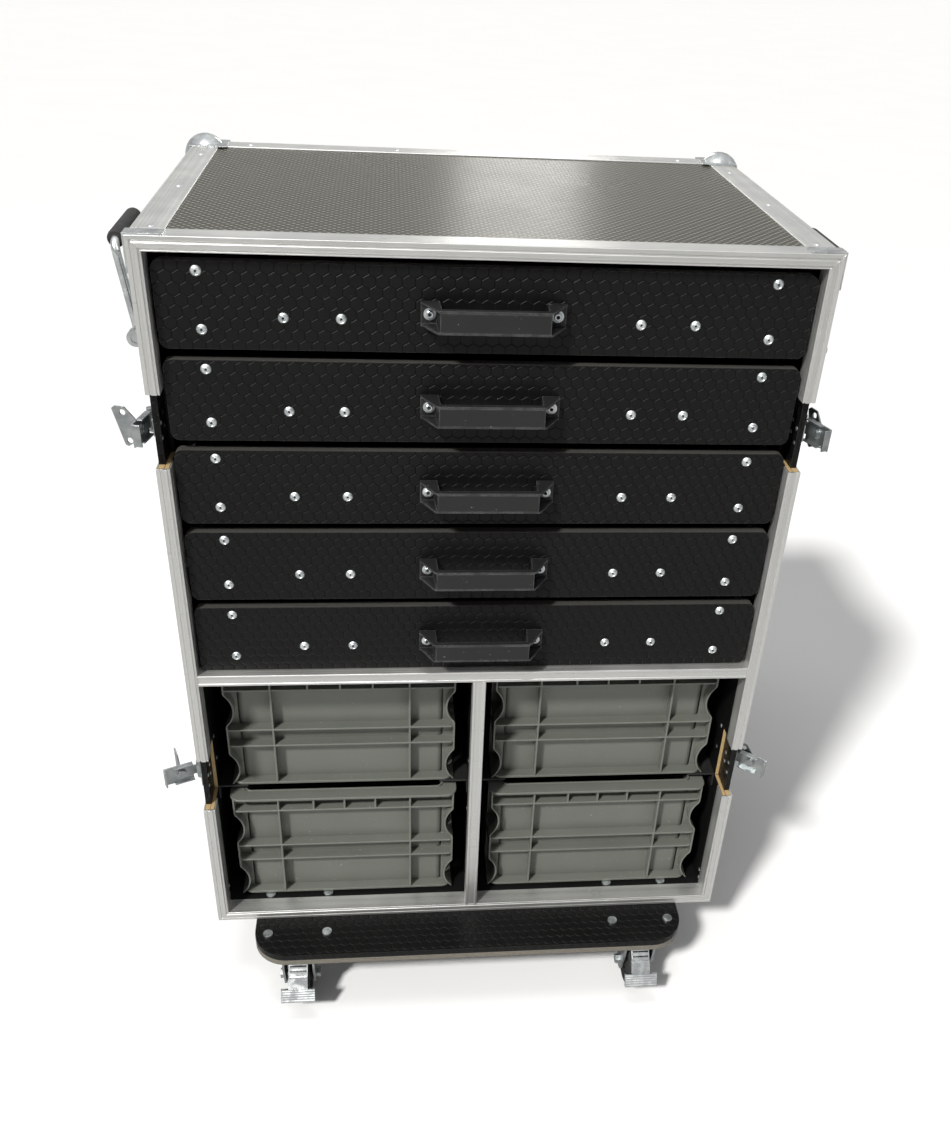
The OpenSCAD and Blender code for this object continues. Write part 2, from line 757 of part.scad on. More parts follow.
// Brake pedal: a tongue between the fork's legs and a ribbed tread in front of the wheel
module brake_pedal(sx, sy) {
    color([0.74, 0.77, 0.78]) at_castor(sx, sy) {
        rod_x([-leg_x - leg_t, leg_x + leg_t], pedal_pivot_y, pedal_pivot_z, 3);
        rod_x([-13, 13], pedal_pivot_y, pedal_pivot_z, 5.5);
        translate([-13, 0, 0]) rotate([90, 0, 90]) linear_extrude(26)
            polygon([[-46, 85], [-52, 83], [-77, 58], [-80, 52], [-76.5, 50.5], [-73, 56],
                     [-50, 76], [-46, 75]]);
        translate([-23, 0, 0]) rotate([90, 0, 90]) linear_extrude(46)
            polygon([[-73.5, 57], [-77, 58.5], [-85, 41], [-81, 40]]);
    }
}

left_side_panel();
right_side_panel();
side_linings();
top_panel();
bottom_panel();
back_panel();
shelf_board();
centre_board();
front_rim();
divider_trim();
edge_angles();
corner_hardware();
latch_bases();
handle_plates();
drawer_runners();
container_runners();
castor_board();
board_bolts();
castor_plates();
left_side_handle();
right_side_handle();

// Side, height, opening angle and name of each latch, whether its wing is folded, and the wing's tilt
for (latch = [[-1, upper_latch_z, left_upper_latch_open, "left_upper", false, 0],
              [-1, lower_latch_z, left_lower_latch_open, "left_lower", false, 14],
              [1, upper_latch_z, right_upper_latch_open, "right_upper", true, 0],
              [1, lower_latch_z, right_lower_latch_open, "right_lower", true, 0]]) {
    latch_arm(latch[0], latch[1], latch[2]);
    latch_wing(latch[0], latch[1], latch[2], latch[4], latch[5]);
}

for (i = [0 : drawer_count - 1]) {
    drawer_front(i);
    drawer_tray(i);
    drawer_pull(i);
}

for (side = [[-1, "left"], [1, "right"]]) {
    container_at(side[0], true);
    container_at(side[0], false);
}

for (side = [[-1, "left"], [1, "right"]], end = [[-1, "front"], [1, "rear"]]) {
    castor_fork(side[0], end[0]);
    castor_wheel(side[0], end[0]);
    brake_pedal(side[0], end[0]);
}
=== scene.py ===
"""Looks of a drawer and container cabinet in flight-case construction, built round its CAD frame."""
import json
import math

import bmesh
import bpy
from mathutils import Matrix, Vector


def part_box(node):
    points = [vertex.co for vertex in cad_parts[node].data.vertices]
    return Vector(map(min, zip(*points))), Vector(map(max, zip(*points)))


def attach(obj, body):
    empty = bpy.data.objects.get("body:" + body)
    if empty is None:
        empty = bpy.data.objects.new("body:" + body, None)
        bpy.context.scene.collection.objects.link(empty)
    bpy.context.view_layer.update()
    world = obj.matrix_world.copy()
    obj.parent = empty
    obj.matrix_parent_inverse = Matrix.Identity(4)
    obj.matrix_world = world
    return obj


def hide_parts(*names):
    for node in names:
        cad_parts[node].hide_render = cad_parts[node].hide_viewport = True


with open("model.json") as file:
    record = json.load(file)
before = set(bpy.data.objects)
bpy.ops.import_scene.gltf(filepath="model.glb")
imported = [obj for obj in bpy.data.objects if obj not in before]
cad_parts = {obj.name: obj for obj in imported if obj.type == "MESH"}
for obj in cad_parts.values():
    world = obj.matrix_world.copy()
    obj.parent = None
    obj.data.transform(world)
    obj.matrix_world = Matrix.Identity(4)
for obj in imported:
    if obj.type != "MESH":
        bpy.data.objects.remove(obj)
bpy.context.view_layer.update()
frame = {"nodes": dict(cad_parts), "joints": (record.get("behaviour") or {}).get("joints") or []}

MM = 0.001
SIDES = {"left": -1, "right": 1}
ENDS = {"front": -1, "rear": 1}
DRAWERS = range(1, 6)
JOINTS = {joint["name"]: joint for joint in frame["joints"]}

# ---- Places taken from the frame ----
rim_low, rim_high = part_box("front_rim")
FRONT, REAR = rim_low.y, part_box("edge_angles")[1].y
BOTTOM, TOP = rim_low.z, rim_high.z
HALF_WIDTH = rim_high.x
INSIDE_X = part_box("shelf_board")[1].x
RIM_FACE = 15 * MM
RIM_LEG = rim_high.y - rim_low.y
NOTCH_HALF = 41 * MM
LATCH_HEIGHTS = {level: JOINTS[f"left_{level}_latch_hinge"]["pos_m"][2] for level in ("lower", "upper")}
EDGE_WIDTH = 34 * MM
METAL = 1.5 * MM


# ---- Mesh making ----
AXES = {"x": (1, 2, 0), "y": (0, 2, 1), "z": (0, 1, 2)}


def prism(bm, outline, axis, low, high, slot=0):
    """Solid whose outline stands across an axis, from low to high along it."""
    first, second, along = AXES[axis]

    def corner(point, depth):
        place = [0.0, 0.0, 0.0]
        place[first], place[second], place[along] = point[0], point[1], depth
        return bm.verts.new(place)

    near = [corner(p, low) for p in outline]
    far = [corner(p, high) for p in outline]
    return close_tube(bm, [near, far], slot)


def close_tube(bm, rings, slot=0, ends=True):
    """Faces between neighbouring rings of corners, and a face over each end."""
    faces = []
    for low, high in zip(rings, rings[1:]):
        for i in range(len(low)):
            j = (i + 1) % len(low)
            faces.append(bm.faces.new((low[i], low[j], high[j], high[i])))
    if ends:
        faces.append(bm.faces.new(rings[0][::-1]))
        faces.append(bm.faces.new(rings[-1]))
    for face in faces:
        face.material_index = slot
    return faces


def block(bm, x, y, z, slot=0):
    """Straight block from its limits along each axis."""
    return prism(bm, [(x[0], y[0]), (x[1], y[0]), (x[1], y[1]), (x[0], y[1])], "z", z[0], z[1], slot)


def rounded(x, y, radius, steps=6):
    """Outline of a rectangle with round corners."""
    points = []
    for cx, cy, start in ((x[1] - radius, y[1] - radius, 0), (x[0] + radius, y[1] - radius, 90),
                          (x[0] + radius, y[0] + radius, 180), (x[1] - radius, y[0] + radius, 270)):
        for i in range(steps + 1):
            turn = math.radians(start + 90 * i / steps)
            points.append((cx + radius * math.cos(turn), cy + radius * math.sin(turn)))
    return points


def lathe(bm, profile, centre, axis, steps=24, slot=0, closed=False):
    """Turned solid: profile is a list of radius and place along the axis."""
    turn = Vector(axis).to_track_quat("Z", "Y").to_matrix()
    centre = Vector(centre)
    rings = []
    for radius, along in profile:
        if radius < 1e-6:
            rings.append([bm.verts.new(centre + turn @ Vector((0, 0, along)))])
            continue
        rings.append([bm.verts.new(centre + turn @ Vector((
            radius * math.cos(2 * math.pi * i / steps), radius * math.sin(2 * math.pi * i / steps), along)))
            for i in range(steps)])
    pairs = list(zip(rings, rings[1:])) + ([(rings[-1], rings[0])] if closed else [])
    faces = []
    for low, high in pairs:
        for i in range(steps):
            j = (i + 1) % steps
            around = (low[i % len(low)], low[j % len(low)], high[j % len(high)], high[i % len(high)])
            faces.append(bm.faces.new(tuple(dict.fromkeys(around))))
    if not closed:
        for ring in (rings[0], rings[-1]):
            if len(ring) > 1:
                faces.append(bm.faces.new(ring))
    for face in faces:
        face.material_index = slot
    return faces


def tube(bm, path, radius, steps=16, slot=0):
    """Round rod along a path of points."""
    rings = []
    for i, point in enumerate(path):
        ahead = path[min(i + 1, len(path) - 1)] - path[max(i - 1, 0)]
        turn = ahead.to_track_quat("Z", "Y").to_matrix()
        rings.append([bm.verts.new(point + turn @ Vector((
            radius * math.cos(2 * math.pi * k / steps), radius * math.sin(2 * math.pi * k / steps), 0)))
            for k in range(steps)])
    return close_tube(bm, rings, slot)


def round_edges(bm, width, sharp=28, segments=2, only=None):
    """Breaks the sharp edges with a small radius."""
    bmesh.ops.recalc_face_normals(bm, faces=bm.faces)
    edges = [e for e in bm.edges if len(e.link_faces) == 2
             and e.calc_face_angle(0) > math.radians(sharp) and (only is None or only(e))]
    bmesh.ops.bevel(bm, geom=edges, offset=width, offset_type="OFFSET", segments=segments,
                    profile=0.5, affect="EDGES", clamp_overlap=True)


def cad_shape(node):
    """Mesh of a CAD node with its corners merged and its flat faces joined."""
    bm = bmesh.new()
    bm.from_mesh(frame["nodes"][node].data)
    bmesh.ops.remove_doubles(bm, verts=bm.verts, dist=2e-6)
    bmesh.ops.dissolve_limit(bm, angle_limit=math.radians(0.6), verts=bm.verts, edges=bm.edges)
    for face in bm.faces:
        face.material_index = 0
    return bm


def piece(name, bm, body, materials, replaced=(), flat_angle=32):
    """Makes an object of a mesh, gives it its finishes and rides it on its body."""
    bmesh.ops.recalc_face_normals(bm, faces=bm.faces)
    mesh = bpy.data.meshes.new(name)
    bm.to_mesh(mesh)
    bm.free()
    for material in materials:
        mesh.materials.append(material)
    mesh.shade_smooth()
    mesh.set_sharp_from_angle(angle=math.radians(flat_angle))
    made = bpy.data.objects.new(name, mesh)
    bpy.context.scene.collection.objects.link(made)
    weighting = made.modifiers.new("even_shading", "WEIGHTED_NORMAL")
    weighting.keep_sharp = True
    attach(made, body)
    if replaced:
        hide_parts(*replaced)
    return made


def place_of(joint):
    return Vector(JOINTS[joint]["pos_m"])


# ---- Effects that several finishes share ----
class Graph:
    """Short hand for adding nodes to a material or a group."""

    def __init__(self, tree):
        self.tree = tree

    def add(self, kind, **settings):
        node = self.tree.nodes.new(kind)
        for name, value in settings.items():
            setattr(node, name, value)
        return node

    def link(self, source, target):
        self.tree.links.new(source, target)

    def feed(self, socket, value):
        if isinstance(value, bpy.types.NodeSocket):
            self.link(value, socket)
        elif value is not None:
            socket.default_value = value

    def math(self, operation, a, b=None, clamp=False):
        node = self.add("ShaderNodeMath", operation=operation, use_clamp=clamp)
        self.feed(node.inputs[0], a)
        self.feed(node.inputs[1], b)
        return node.outputs[0]

    def vector(self, operation, a, b=None, c=None):
        node = self.add("ShaderNodeVectorMath", operation=operation)
        for socket, value in zip(node.inputs, (a, b, c)):
            self.feed(socket, value)
        return node.outputs["Value" if operation in ("DOT_PRODUCT", "LENGTH") else "Vector"]

    def ramp(self, value, low, high, out_low=0.0, out_high=1.0):
        node = self.add("ShaderNodeMapRange", interpolation_type="SMOOTHSTEP")
        for socket, v in zip(node.inputs, (value, low, high, out_low, out_high)):
            self.feed(socket, v)
        return node.outputs["Result"]

    def noise(self, vector, scale, detail=3.0, roughness=0.55, **settings):
        node = self.add("ShaderNodeTexNoise", **settings)
        self.feed(node.inputs["Vector"], vector)
        self.feed(node.inputs["Scale"], scale)
        self.feed(node.inputs["Detail"], detail)
        self.feed(node.inputs["Roughness"], roughness)
        return node.outputs["Fac"]

    def mix(self, factor, a, b, blend="MIX"):
        node = self.add("ShaderNodeMix", data_type="RGBA", blend_type=blend)
        self.feed(node.inputs["Factor"], factor)
        self.feed(node.inputs["A"], a)
        self.feed(node.inputs["B"], b)
        return node.outputs["Result"]

    def group(self, tree, **values):
        node = self.add("ShaderNodeGroup", node_tree=tree)
        for name, value in values.items():
            self.feed(node.inputs[name.replace("_", " ")], value)
        return node.outputs


def new_group(name, inputs, outputs):
    """Empty shader group with named sockets; returns the group, its graph and both ends."""
    tree = bpy.data.node_groups.new(name, "ShaderNodeTree")
    for title, kind, default in inputs:
        socket = tree.interface.new_socket(title, in_out="INPUT", socket_type=kind)
        socket.default_value = default
    for title, kind in outputs:
        tree.interface.new_socket(title, in_out="OUTPUT", socket_type=kind)
    graph = Graph(tree)
    return tree, graph, graph.add("NodeGroupInput").outputs, graph.add("NodeGroupOutput").inputs


VALUE, VECTOR = "NodeSocketFloat", "NodeSocketVector"


def surface_plane_group():
    """Two coordinates that lie in whichever of the three main planes a face is in."""
    tree, g, _, out = new_group("Surface plane", [], [("Place", VECTOR)])
    coordinates = g.add("ShaderNodeTexCoord")
    place = g.add("ShaderNodeSeparateXYZ")
    g.link(coordinates.outputs["Object"], place.inputs[0])
    facing = g.add("ShaderNodeSeparateXYZ")
    g.link(g.vector("ABSOLUTE", coordinates.outputs["Normal"]), facing.inputs[0])
    sideways = g.math("GREATER_THAN", facing.outputs["X"], 0.6)
    upward = g.math("GREATER_THAN", facing.outputs["Z"], 0.6)
    first = g.add("ShaderNodeMix")
    g.feed(first.inputs["Factor"], sideways)
    g.feed(first.inputs["A"], place.outputs["X"])
    g.feed(first.inputs["B"], place.outputs["Y"])
    second = g.add("ShaderNodeMix")
    g.feed(second.inputs["Factor"], upward)
    g.feed(second.inputs["A"], place.outputs["Z"])
    g.feed(second.inputs["B"], place.outputs["Y"])
    both = g.add("ShaderNodeCombineXYZ")
    g.link(first.outputs["Result"], both.inputs["X"])
    g.link(second.outputs["Result"], both.inputs["Y"])
    g.link(both.outputs[0], out["Place"])
    return tree


def nearest_cell(g, place, pitch, rows):
    """Offset from the middle of the nearest cell of a staggered grid, in cells."""
    size = g.add("ShaderNodeCombineXYZ")
    g.feed(size.inputs["X"], pitch)
    g.feed(size.inputs["Y"], rows)
    size = size.outputs[0]
    half = g.vector("SCALE", size)
    half.node.inputs["Scale"].default_value = 0.5
    wrapped = []
    for start in (place, g.vector("SUBTRACT", place, half)):
        wrap = g.add("ShaderNodeVectorMath", operation="WRAP")
        g.feed(wrap.inputs[0], start)
        g.feed(wrap.inputs[1], size)
        wrapped.append(g.vector("SUBTRACT", wrap.outputs[0], half))
    nearer = g.math("LESS_THAN", g.vector("LENGTH", wrapped[0]), g.vector("LENGTH", wrapped[1]))
    choice = g.add("ShaderNodeMix", data_type="VECTOR")
    g.feed(choice.inputs["Factor"], nearer)
    g.feed(choice.inputs[4], wrapped[1])
    g.feed(choice.inputs[5], wrapped[0])
    return choice.outputs[1]


def hexagon_group():
    """Film embossed with hexagons: how high the surface is, and a line mask for the grooves."""
    tree, g, given, out = new_group("Hexagon film", [("Place", VECTOR, (0, 0, 0)), ("Cell", VALUE, 0.013),
                                                     ("Groove", VALUE, 0.0011)],
                                    [("Height", VALUE), ("Groove", VALUE)])
    rows = g.math("MULTIPLY", given["Cell"], math.sqrt(3))
    near = g.vector("ABSOLUTE", nearest_cell(g, given["Place"], given["Cell"], rows))
    parts = g.add("ShaderNodeSeparateXYZ")
    g.link(near, parts.inputs[0])
    slanted = g.math("ADD", g.math("MULTIPLY", parts.outputs["X"], 0.5),
                     g.math("MULTIPLY", parts.outputs["Y"], math.sqrt(3) / 2))
    reach = g.math("MAXIMUM", parts.outputs["X"], slanted)
    to_edge = g.math("SUBTRACT", g.math("MULTIPLY", given["Cell"], 0.5), reach)
    line = g.ramp(to_edge, 0.0, given["Groove"], 1.0, 0.0)
    crown = g.ramp(to_edge, 0.0, g.math("MULTIPLY", given["Cell"], 0.5), 0.0, 0.25)
    g.link(g.math("SUBTRACT", crown, line), out["Height"])
    g.link(line, out["Groove"])
    return tree


def mesh_film_group():
    """Film embossed with staggered oval dots, like a woven wire screen."""
    tree, g, given, out = new_group("Mesh film", [("Place", VECTOR, (0, 0, 0)), ("Pitch", VALUE, 0.009),
                                                  ("Rows", VALUE, 0.0105), ("Dot", VALUE, 0.0014)],
                                    [("Height", VALUE), ("Dot", VALUE)])
    near = nearest_cell(g, given["Place"], given["Pitch"], given["Rows"])
    squeezed = g.vector("MULTIPLY", near, (0.60, 1.0, 1.0))
    away = g.vector("LENGTH", squeezed)
    crest = g.math("MULTIPLY", given["Dot"], 0.45)
    foot = g.math("MULTIPLY", given["Dot"], 1.3)
    dot = g.ramp(away, crest, foot, 1.0, 0.0)
    g.link(dot, out["Height"])
    g.link(dot, out["Dot"])
    return tree


def wear_group():
    """Where edges have rubbed bright: the true normal against one rounded over a width."""
    tree, g, given, out = new_group("Edge wear", [("Width", VALUE, 0.0012), ("Amount", VALUE, 1.0),
                                                  ("Patchiness", VALUE, 0.6)], [("Mask", VALUE)])
    rounded_normal = g.add("ShaderNodeBevel", samples=4)
    g.link(given["Width"], rounded_normal.inputs["Radius"])
    geometry = g.add("ShaderNodeNewGeometry")
    straight = g.vector("DOT_PRODUCT", rounded_normal.outputs[0], geometry.outputs["True Normal"])
    edge = g.ramp(straight, 0.995, 0.80)
    coordinates = g.add("ShaderNodeTexCoord")
    patches = g.noise(coordinates.outputs["Object"], 55.0, 4.0, 0.65)
    broken = g.math("SUBTRACT", 1.0, g.math("MULTIPLY", given["Patchiness"], g.ramp(patches, 0.58, 0.40)))
    g.link(g.math("MULTIPLY", g.math("MULTIPLY", edge, broken), given["Amount"], clamp=True), out["Mask"])
    return tree


def handling_group():
    """Soft smudges, dust specks and fine scratches from use."""
    tree, g, given, out = new_group("Handling marks",
                                    [("Smudge size", VALUE, 9.0), ("Speck size", VALUE, 420.0)],
                                    [("Smudges", VALUE), ("Specks", VALUE), ("Scratches", VALUE)])
    coordinates = g.add("ShaderNodeTexCoord")
    place = coordinates.outputs["Object"]
    g.link(g.noise(place, given["Smudge size"], 4.0, 0.6), out["Smudges"])
    g.link(g.ramp(g.noise(place, given["Speck size"], 2.0, 0.5), 0.70, 0.80), out["Specks"])
    stretched = g.add("ShaderNodeMapping")
    g.link(place, stretched.inputs["Vector"])
    stretched.inputs["Rotation"].default_value = (0.4, 0.7, 0.5)
    stretched.inputs["Scale"].default_value = (14.0, 420.0, 420.0)
    g.link(g.ramp(g.noise(stretched.outputs[0], 1.0, 2.0, 0.5), 0.66, 0.74), out["Scratches"])
    return tree


def drawn_group():
    """Die lines left along an extruded section."""
    tree, g, given, out = new_group("Die lines", [("Stretch", VECTOR, (1, 1, 1))],
                                    [("Lines", VALUE), ("Bands", VALUE)])
    coordinates = g.add("ShaderNodeTexCoord")
    scaled = g.vector("MULTIPLY", coordinates.outputs["Object"], given["Stretch"])
    g.link(g.noise(scaled, 1.0, 5.0, 0.7), out["Lines"])
    g.link(g.noise(scaled, 0.16, 2.0, 0.5), out["Bands"])
    return tree


PLANE = surface_plane_group()
HEXAGONS = hexagon_group()
MESH_FILM = mesh_film_group()
WEAR = wear_group()
HANDLING = handling_group()
DIE_LINES = drawn_group()


# ---- Finishes ----
def finish(name, metallic=0.0, **fixed):
    """Material with its shader; fixed values sit on the shader's own sockets."""
    material = bpy.data.materials.new(name)
    material.use_nodes = True
    graph = Graph(material.node_tree)
    shader = material.node_tree.nodes["Principled BSDF"]
    shader.inputs["Metallic"].default_value = metallic
    for socket, value in fixed.items():
        shader.inputs[socket.replace("_", " ")].default_value = value
    return material, graph, shader


def bumped(g, shader, height, distance, strength=1.0):
    bump = g.add("ShaderNodeBump")
    g.feed(bump.inputs["Height"], height)
    bump.inputs["Distance"].default_value = distance
    bump.inputs["Strength"].default_value = strength
    g.link(bump.outputs["Normal"], shader.inputs["Normal"])


def grey(value, warm=0.0):
    return (value * (1 + warm), value, value * (1 - warm), 1.0)


def hexagon_board(name, tone=0.005):
    """Black film faced ply with the raised hexagon pattern."""
    material, g, shader = finish(name, Specular_IOR_Level=0.20)
    cells = g.group(HEXAGONS, Place=g.group(PLANE)["Place"])
    marks = g.group(HANDLING)
    worn = g.group(WEAR, Width=0.0010, Amount=0.55)["Mask"]
    film = g.mix(marks["Smudges"], grey(tone * 0.75), grey(tone * 1.35, 0.03))
    # Grooves between the cells painted nearly black: painted shade in the recessed lines.
    film = g.mix(g.math("MULTIPLY", cells["Groove"], 0.8), film, grey(tone * 0.2))
    film = g.mix(g.math("MULTIPLY", marks["Specks"], 0.18), film, grey(0.25))
    g.link(g.mix(worn, film, grey(0.10, 0.04)), shader.inputs["Base Color"])
    gloss = g.math("ADD", g.ramp(marks["Smudges"], 0.3, 0.7, 0.30, 0.42),
                   g.math("MULTIPLY", cells["Groove"], 0.25))
    g.link(g.math("ADD", gloss, g.math("MULTIPLY", marks["Scratches"], 0.15)), shader.inputs["Roughness"])
    bumped(g, shader, cells["Height"], 0.0005)
    return material


def smooth_film(name, tone=0.006):
    """Plain black film inside the case."""
    material, g, shader = finish(name, Specular_IOR_Level=0.2)
    marks = g.group(HANDLING, Smudge_size=14.0)
    film = g.mix(marks["Smudges"], grey(tone * 0.7), grey(tone * 1.4))
    film = g.mix(g.math("MULTIPLY", marks["Specks"], 0.3), film, grey(0.2))
    g.link(film, shader.inputs["Base Color"])
    g.link(g.ramp(marks["Smudges"], 0.3, 0.7, 0.34, 0.5), shader.inputs["Roughness"])
    bumped(g, shader, marks["Smudges"], 0.0004)
    return material


def mesh_board(name):
    """Dark brown-grey film with the fine screen pattern."""
    material, g, shader = finish(name, Specular_IOR_Level=0.20)
    screen = g.group(MESH_FILM, Place=g.group(PLANE)["Place"])
    marks = g.group(HANDLING, Smudge_size=6.0)
    film = g.mix(marks["Smudges"], (0.034, 0.032, 0.025, 1), (0.046, 0.044, 0.034, 1))
    # Raised dots painted pale: painted highlight where the dots catch the light.
    film = g.mix(g.math("MULTIPLY", screen["Dot"], 0.8), film, (0.40, 0.39, 0.33, 1))
    film = g.mix(g.math("MULTIPLY", marks["Specks"], 0.25), film, grey(0.5))
    g.link(film, shader.inputs["Base Color"])
    g.link(g.ramp(marks["Smudges"], 0.3, 0.7, 0.27, 0.32), shader.inputs["Roughness"])
    bumped(g, shader, screen["Height"], 0.0011)
    return material


def ply_edge(name, light, dark, axis, layers):
    """Cut edge of plywood: thin layers across one axis, with grain and dark glue lines."""
    material, g, shader = finish(name)
    coordinates = g.add("ShaderNodeTexCoord")
    parts = g.add("ShaderNodeSeparateXYZ")
    g.link(coordinates.outputs["Object"], parts.inputs[0])
    wave = g.math("SINE", g.math("MULTIPLY", parts.outputs[axis], 2 * math.pi / layers))
    grain = g.noise(coordinates.outputs["Object"], 260.0, 5.0, 0.7)
    colour = g.mix(g.ramp(wave, -0.5, 0.6), dark, light)
    colour = g.mix(g.ramp(grain, 0.35, 0.7), colour, tuple(c * 0.62 for c in light[:3]) + (1,))
    g.link(colour, shader.inputs["Base Color"])
    g.link(g.ramp(grain, 0.3, 0.7, 0.45, 0.7), shader.inputs["Roughness"])
    bumped(g, shader, g.math("ADD", grain, g.math("MULTIPLY", wave, 0.5)), 0.0002)
    return material


def drawn_aluminium(name, along):
    """Mill finish aluminium with die lines along its length."""
    material, g, shader = finish(name, metallic=0.82)
    stretch = tuple(4.0 if axis == along else 900.0 for axis in "xyz")
    lines = g.group(DIE_LINES, Stretch=stretch)
    marks = g.group(HANDLING, Smudge_size=16.0)
    colour = g.mix(lines["Bands"], (0.52, 0.52, 0.50, 1), (0.90, 0.90, 0.885, 1))
    colour = g.mix(g.math("MULTIPLY", marks["Scratches"], 0.4), colour, grey(0.45))
    g.link(colour, shader.inputs["Base Color"])
    rough = g.math("ADD", g.ramp(lines["Lines"], 0.3, 0.7, 0.24, 0.40),
                   g.ramp(marks["Smudges"], 0.35, 0.7, 0.0, 0.12))
    g.link(rough, shader.inputs["Roughness"])
    bumped(g, shader, lines["Lines"], 0.00008)
    return material


def zinc_plate(name, tone, cool, rough):
    """Bright zinc on pressed steel: bluish, slightly blotchy."""
    material, g, shader = finish(name, metallic=1.0)
    marks = g.group(HANDLING, Smudge_size=70.0)
    worn = g.group(WEAR, Width=0.0008, Amount=0.7)["Mask"]
    dull = (0.58 * tone, 0.62 * cool * tone, 0.64 * cool * tone, 1)
    plate = g.mix(g.ramp(marks["Smudges"], 0.35, 0.65), dull, (0.82 * tone, 0.86 * tone, 0.85 * tone, 1))
    plate = g.mix(g.math("MULTIPLY", marks["Scratches"], 0.5), plate, grey(0.35))
    g.link(g.mix(worn, plate, grey(0.92)), shader.inputs["Base Color"])
    g.link(g.ramp(marks["Smudges"], 0.3, 0.7, rough, rough + 0.16), shader.inputs["Roughness"])
    bumped(g, shader, marks["Smudges"], 0.00015)
    return material


def moulded_plastic(name, low, high, rough, grain=1500.0, depth=0.00006,
                    edge=0.2, paler=2.4, rub=1 * MM):
    """Moulded plastic with a fine grain, and edges rubbed paler over a width."""
    material, g, shader = finish(name)
    coordinates = g.add("ShaderNodeTexCoord")
    marks = g.group(HANDLING, Smudge_size=11.0, Speck_size=300.0)
    fine = g.noise(coordinates.outputs["Object"], grain, 2.0, 0.5)
    worn = g.group(WEAR, Width=rub, Amount=edge)["Mask"]
    colour = g.mix(marks["Smudges"], low, high)
    colour = g.mix(worn, colour, tuple(min(1.0, c * paler) for c in high[:3]) + (1,))
    colour = g.mix(g.math("MULTIPLY", marks["Specks"], 0.35), colour, grey(0.7))
    g.link(colour, shader.inputs["Base Color"])
    g.link(g.math("ADD", g.ramp(marks["Smudges"], 0.3, 0.7, rough, rough + 0.12),
                  g.math("MULTIPLY", marks["Scratches"], 0.1)), shader.inputs["Roughness"])
    bumped(g, shader, fine, depth)
    return material


FINISHES = {
    "board": hexagon_board("hexagon_board"),
    "film": smooth_film("smooth_film"),
    "screen": mesh_board("screen_board"),
    "black_edge": ply_edge("black_ply_edge", (0.070, 0.067, 0.060, 1), (0.030, 0.029, 0.027, 1),
                           "Z", 3.6 * MM),
    "board_edge": ply_edge("castor_board_edge", (0.21, 0.19, 0.155, 1), (0.11, 0.10, 0.08, 1),
                           "Z", 2.6 * MM),
    "front_edge": ply_edge("front_board_edge", (0.085, 0.082, 0.075, 1), (0.035, 0.034, 0.032, 1),
                           "Y", 3 * MM),
    "raw_ply": ply_edge("raw_ply_edge", (0.62, 0.45, 0.22, 1), (0.36, 0.23, 0.10, 1), "X", 1.6 * MM),
    "aluminium_x": drawn_aluminium("aluminium_across", "x"),
    "aluminium_y": drawn_aluminium("aluminium_lengthways", "y"),
    "aluminium_z": drawn_aluminium("aluminium_upright", "z"),
    "zinc": zinc_plate("bright_zinc", 0.62, 1.0, 0.34),
    "nickel": zinc_plate("nickel_screws", 1.12, 1.0, 0.34),
    "chrome": zinc_plate("bright_steel", 1.0, 0.96, 0.14),
    "powder": moulded_plastic("black_powder_coat", grey(0.012), grey(0.022), 0.35, 900.0, 0.00008),
    "pull": moulded_plastic("pull_plastic", grey(0.009), grey(0.013), 0.42, edge=0.8, paler=11.0,
                            rub=2.4 * MM),
    "tub": moulded_plastic("container_plastic", (0.118, 0.125, 0.108, 1), (0.150, 0.158, 0.138, 1), 0.40,
                           600.0, 0.00005, 0.4, 1.9),
    # Black rubber for tyres and grips; the screw and bolt sockets use it too, as painted shade at their
    # bottoms.
    "rubber": moulded_plastic("black_rubber_and_socket_shade", grey(0.010), grey(0.022), 0.62, 700.0, 0.00015, 0.1),
}


# ---- Boards ----
def plain_board(node, body, face, edge, broken=0.5 * MM):
    """Board as the CAD has it, with broken edges; its cut edges get their own finish."""
    bm = cad_shape(node)
    size = [max(v.co[i] for v in bm.verts) - min(v.co[i] for v in bm.verts) for i in range(3)]
    thin = size.index(min(size))
    bmesh.ops.recalc_face_normals(bm, faces=bm.faces)
    for f in bm.faces:
        f.material_index = 0 if abs(f.normal[thin]) > 0.7 else 1
    round_edges(bm, broken)
    return piece(f"{node}_board", bm, body, [FINISHES[face], FINISHES[edge]], [node])


def in_latch_gap(point):
    return point.y < FRONT + 47 * MM and any(
        abs(point.z - z) < NOTCH_HALF + 2 * MM for z in LATCH_HEIGHTS.values())


def notched_board(node, face, raw_front):
    """Side board or lining: raw ply shows where it is sawn back for the latches."""
    bm = cad_shape(node)
    bmesh.ops.recalc_face_normals(bm, faces=bm.faces)
    for f in bm.faces:
        at = f.calc_center_median()
        sill = f.normal.z > 0.7
        face_on = f.normal.y < -0.7 and at.z < LATCH_HEIGHTS["lower"] + NOTCH_HALF and raw_front
        f.material_index = 1 if (sill or face_on) and in_latch_gap(at) else 0
    round_edges(bm, 0.3 * MM)
    return piece(f"{node}_board", bm, "case", [FINISHES[face], FINISHES["raw_ply"]], [node])


def make_boards():
    for side in SIDES:
        notched_board(f"{side}_side_panel", "board", False)
    notched_board("side_linings", "film", True)
    plain_board("top_panel", "case", "screen", "black_edge")
    plain_board("bottom_panel", "case", "film", "black_edge")
    plain_board("back_panel", "case", "board", "black_edge")
    plain_board("shelf_board", "case", "film", "black_edge")
    plain_board("centre_board", "case", "film", "black_edge")
    make_castor_board()


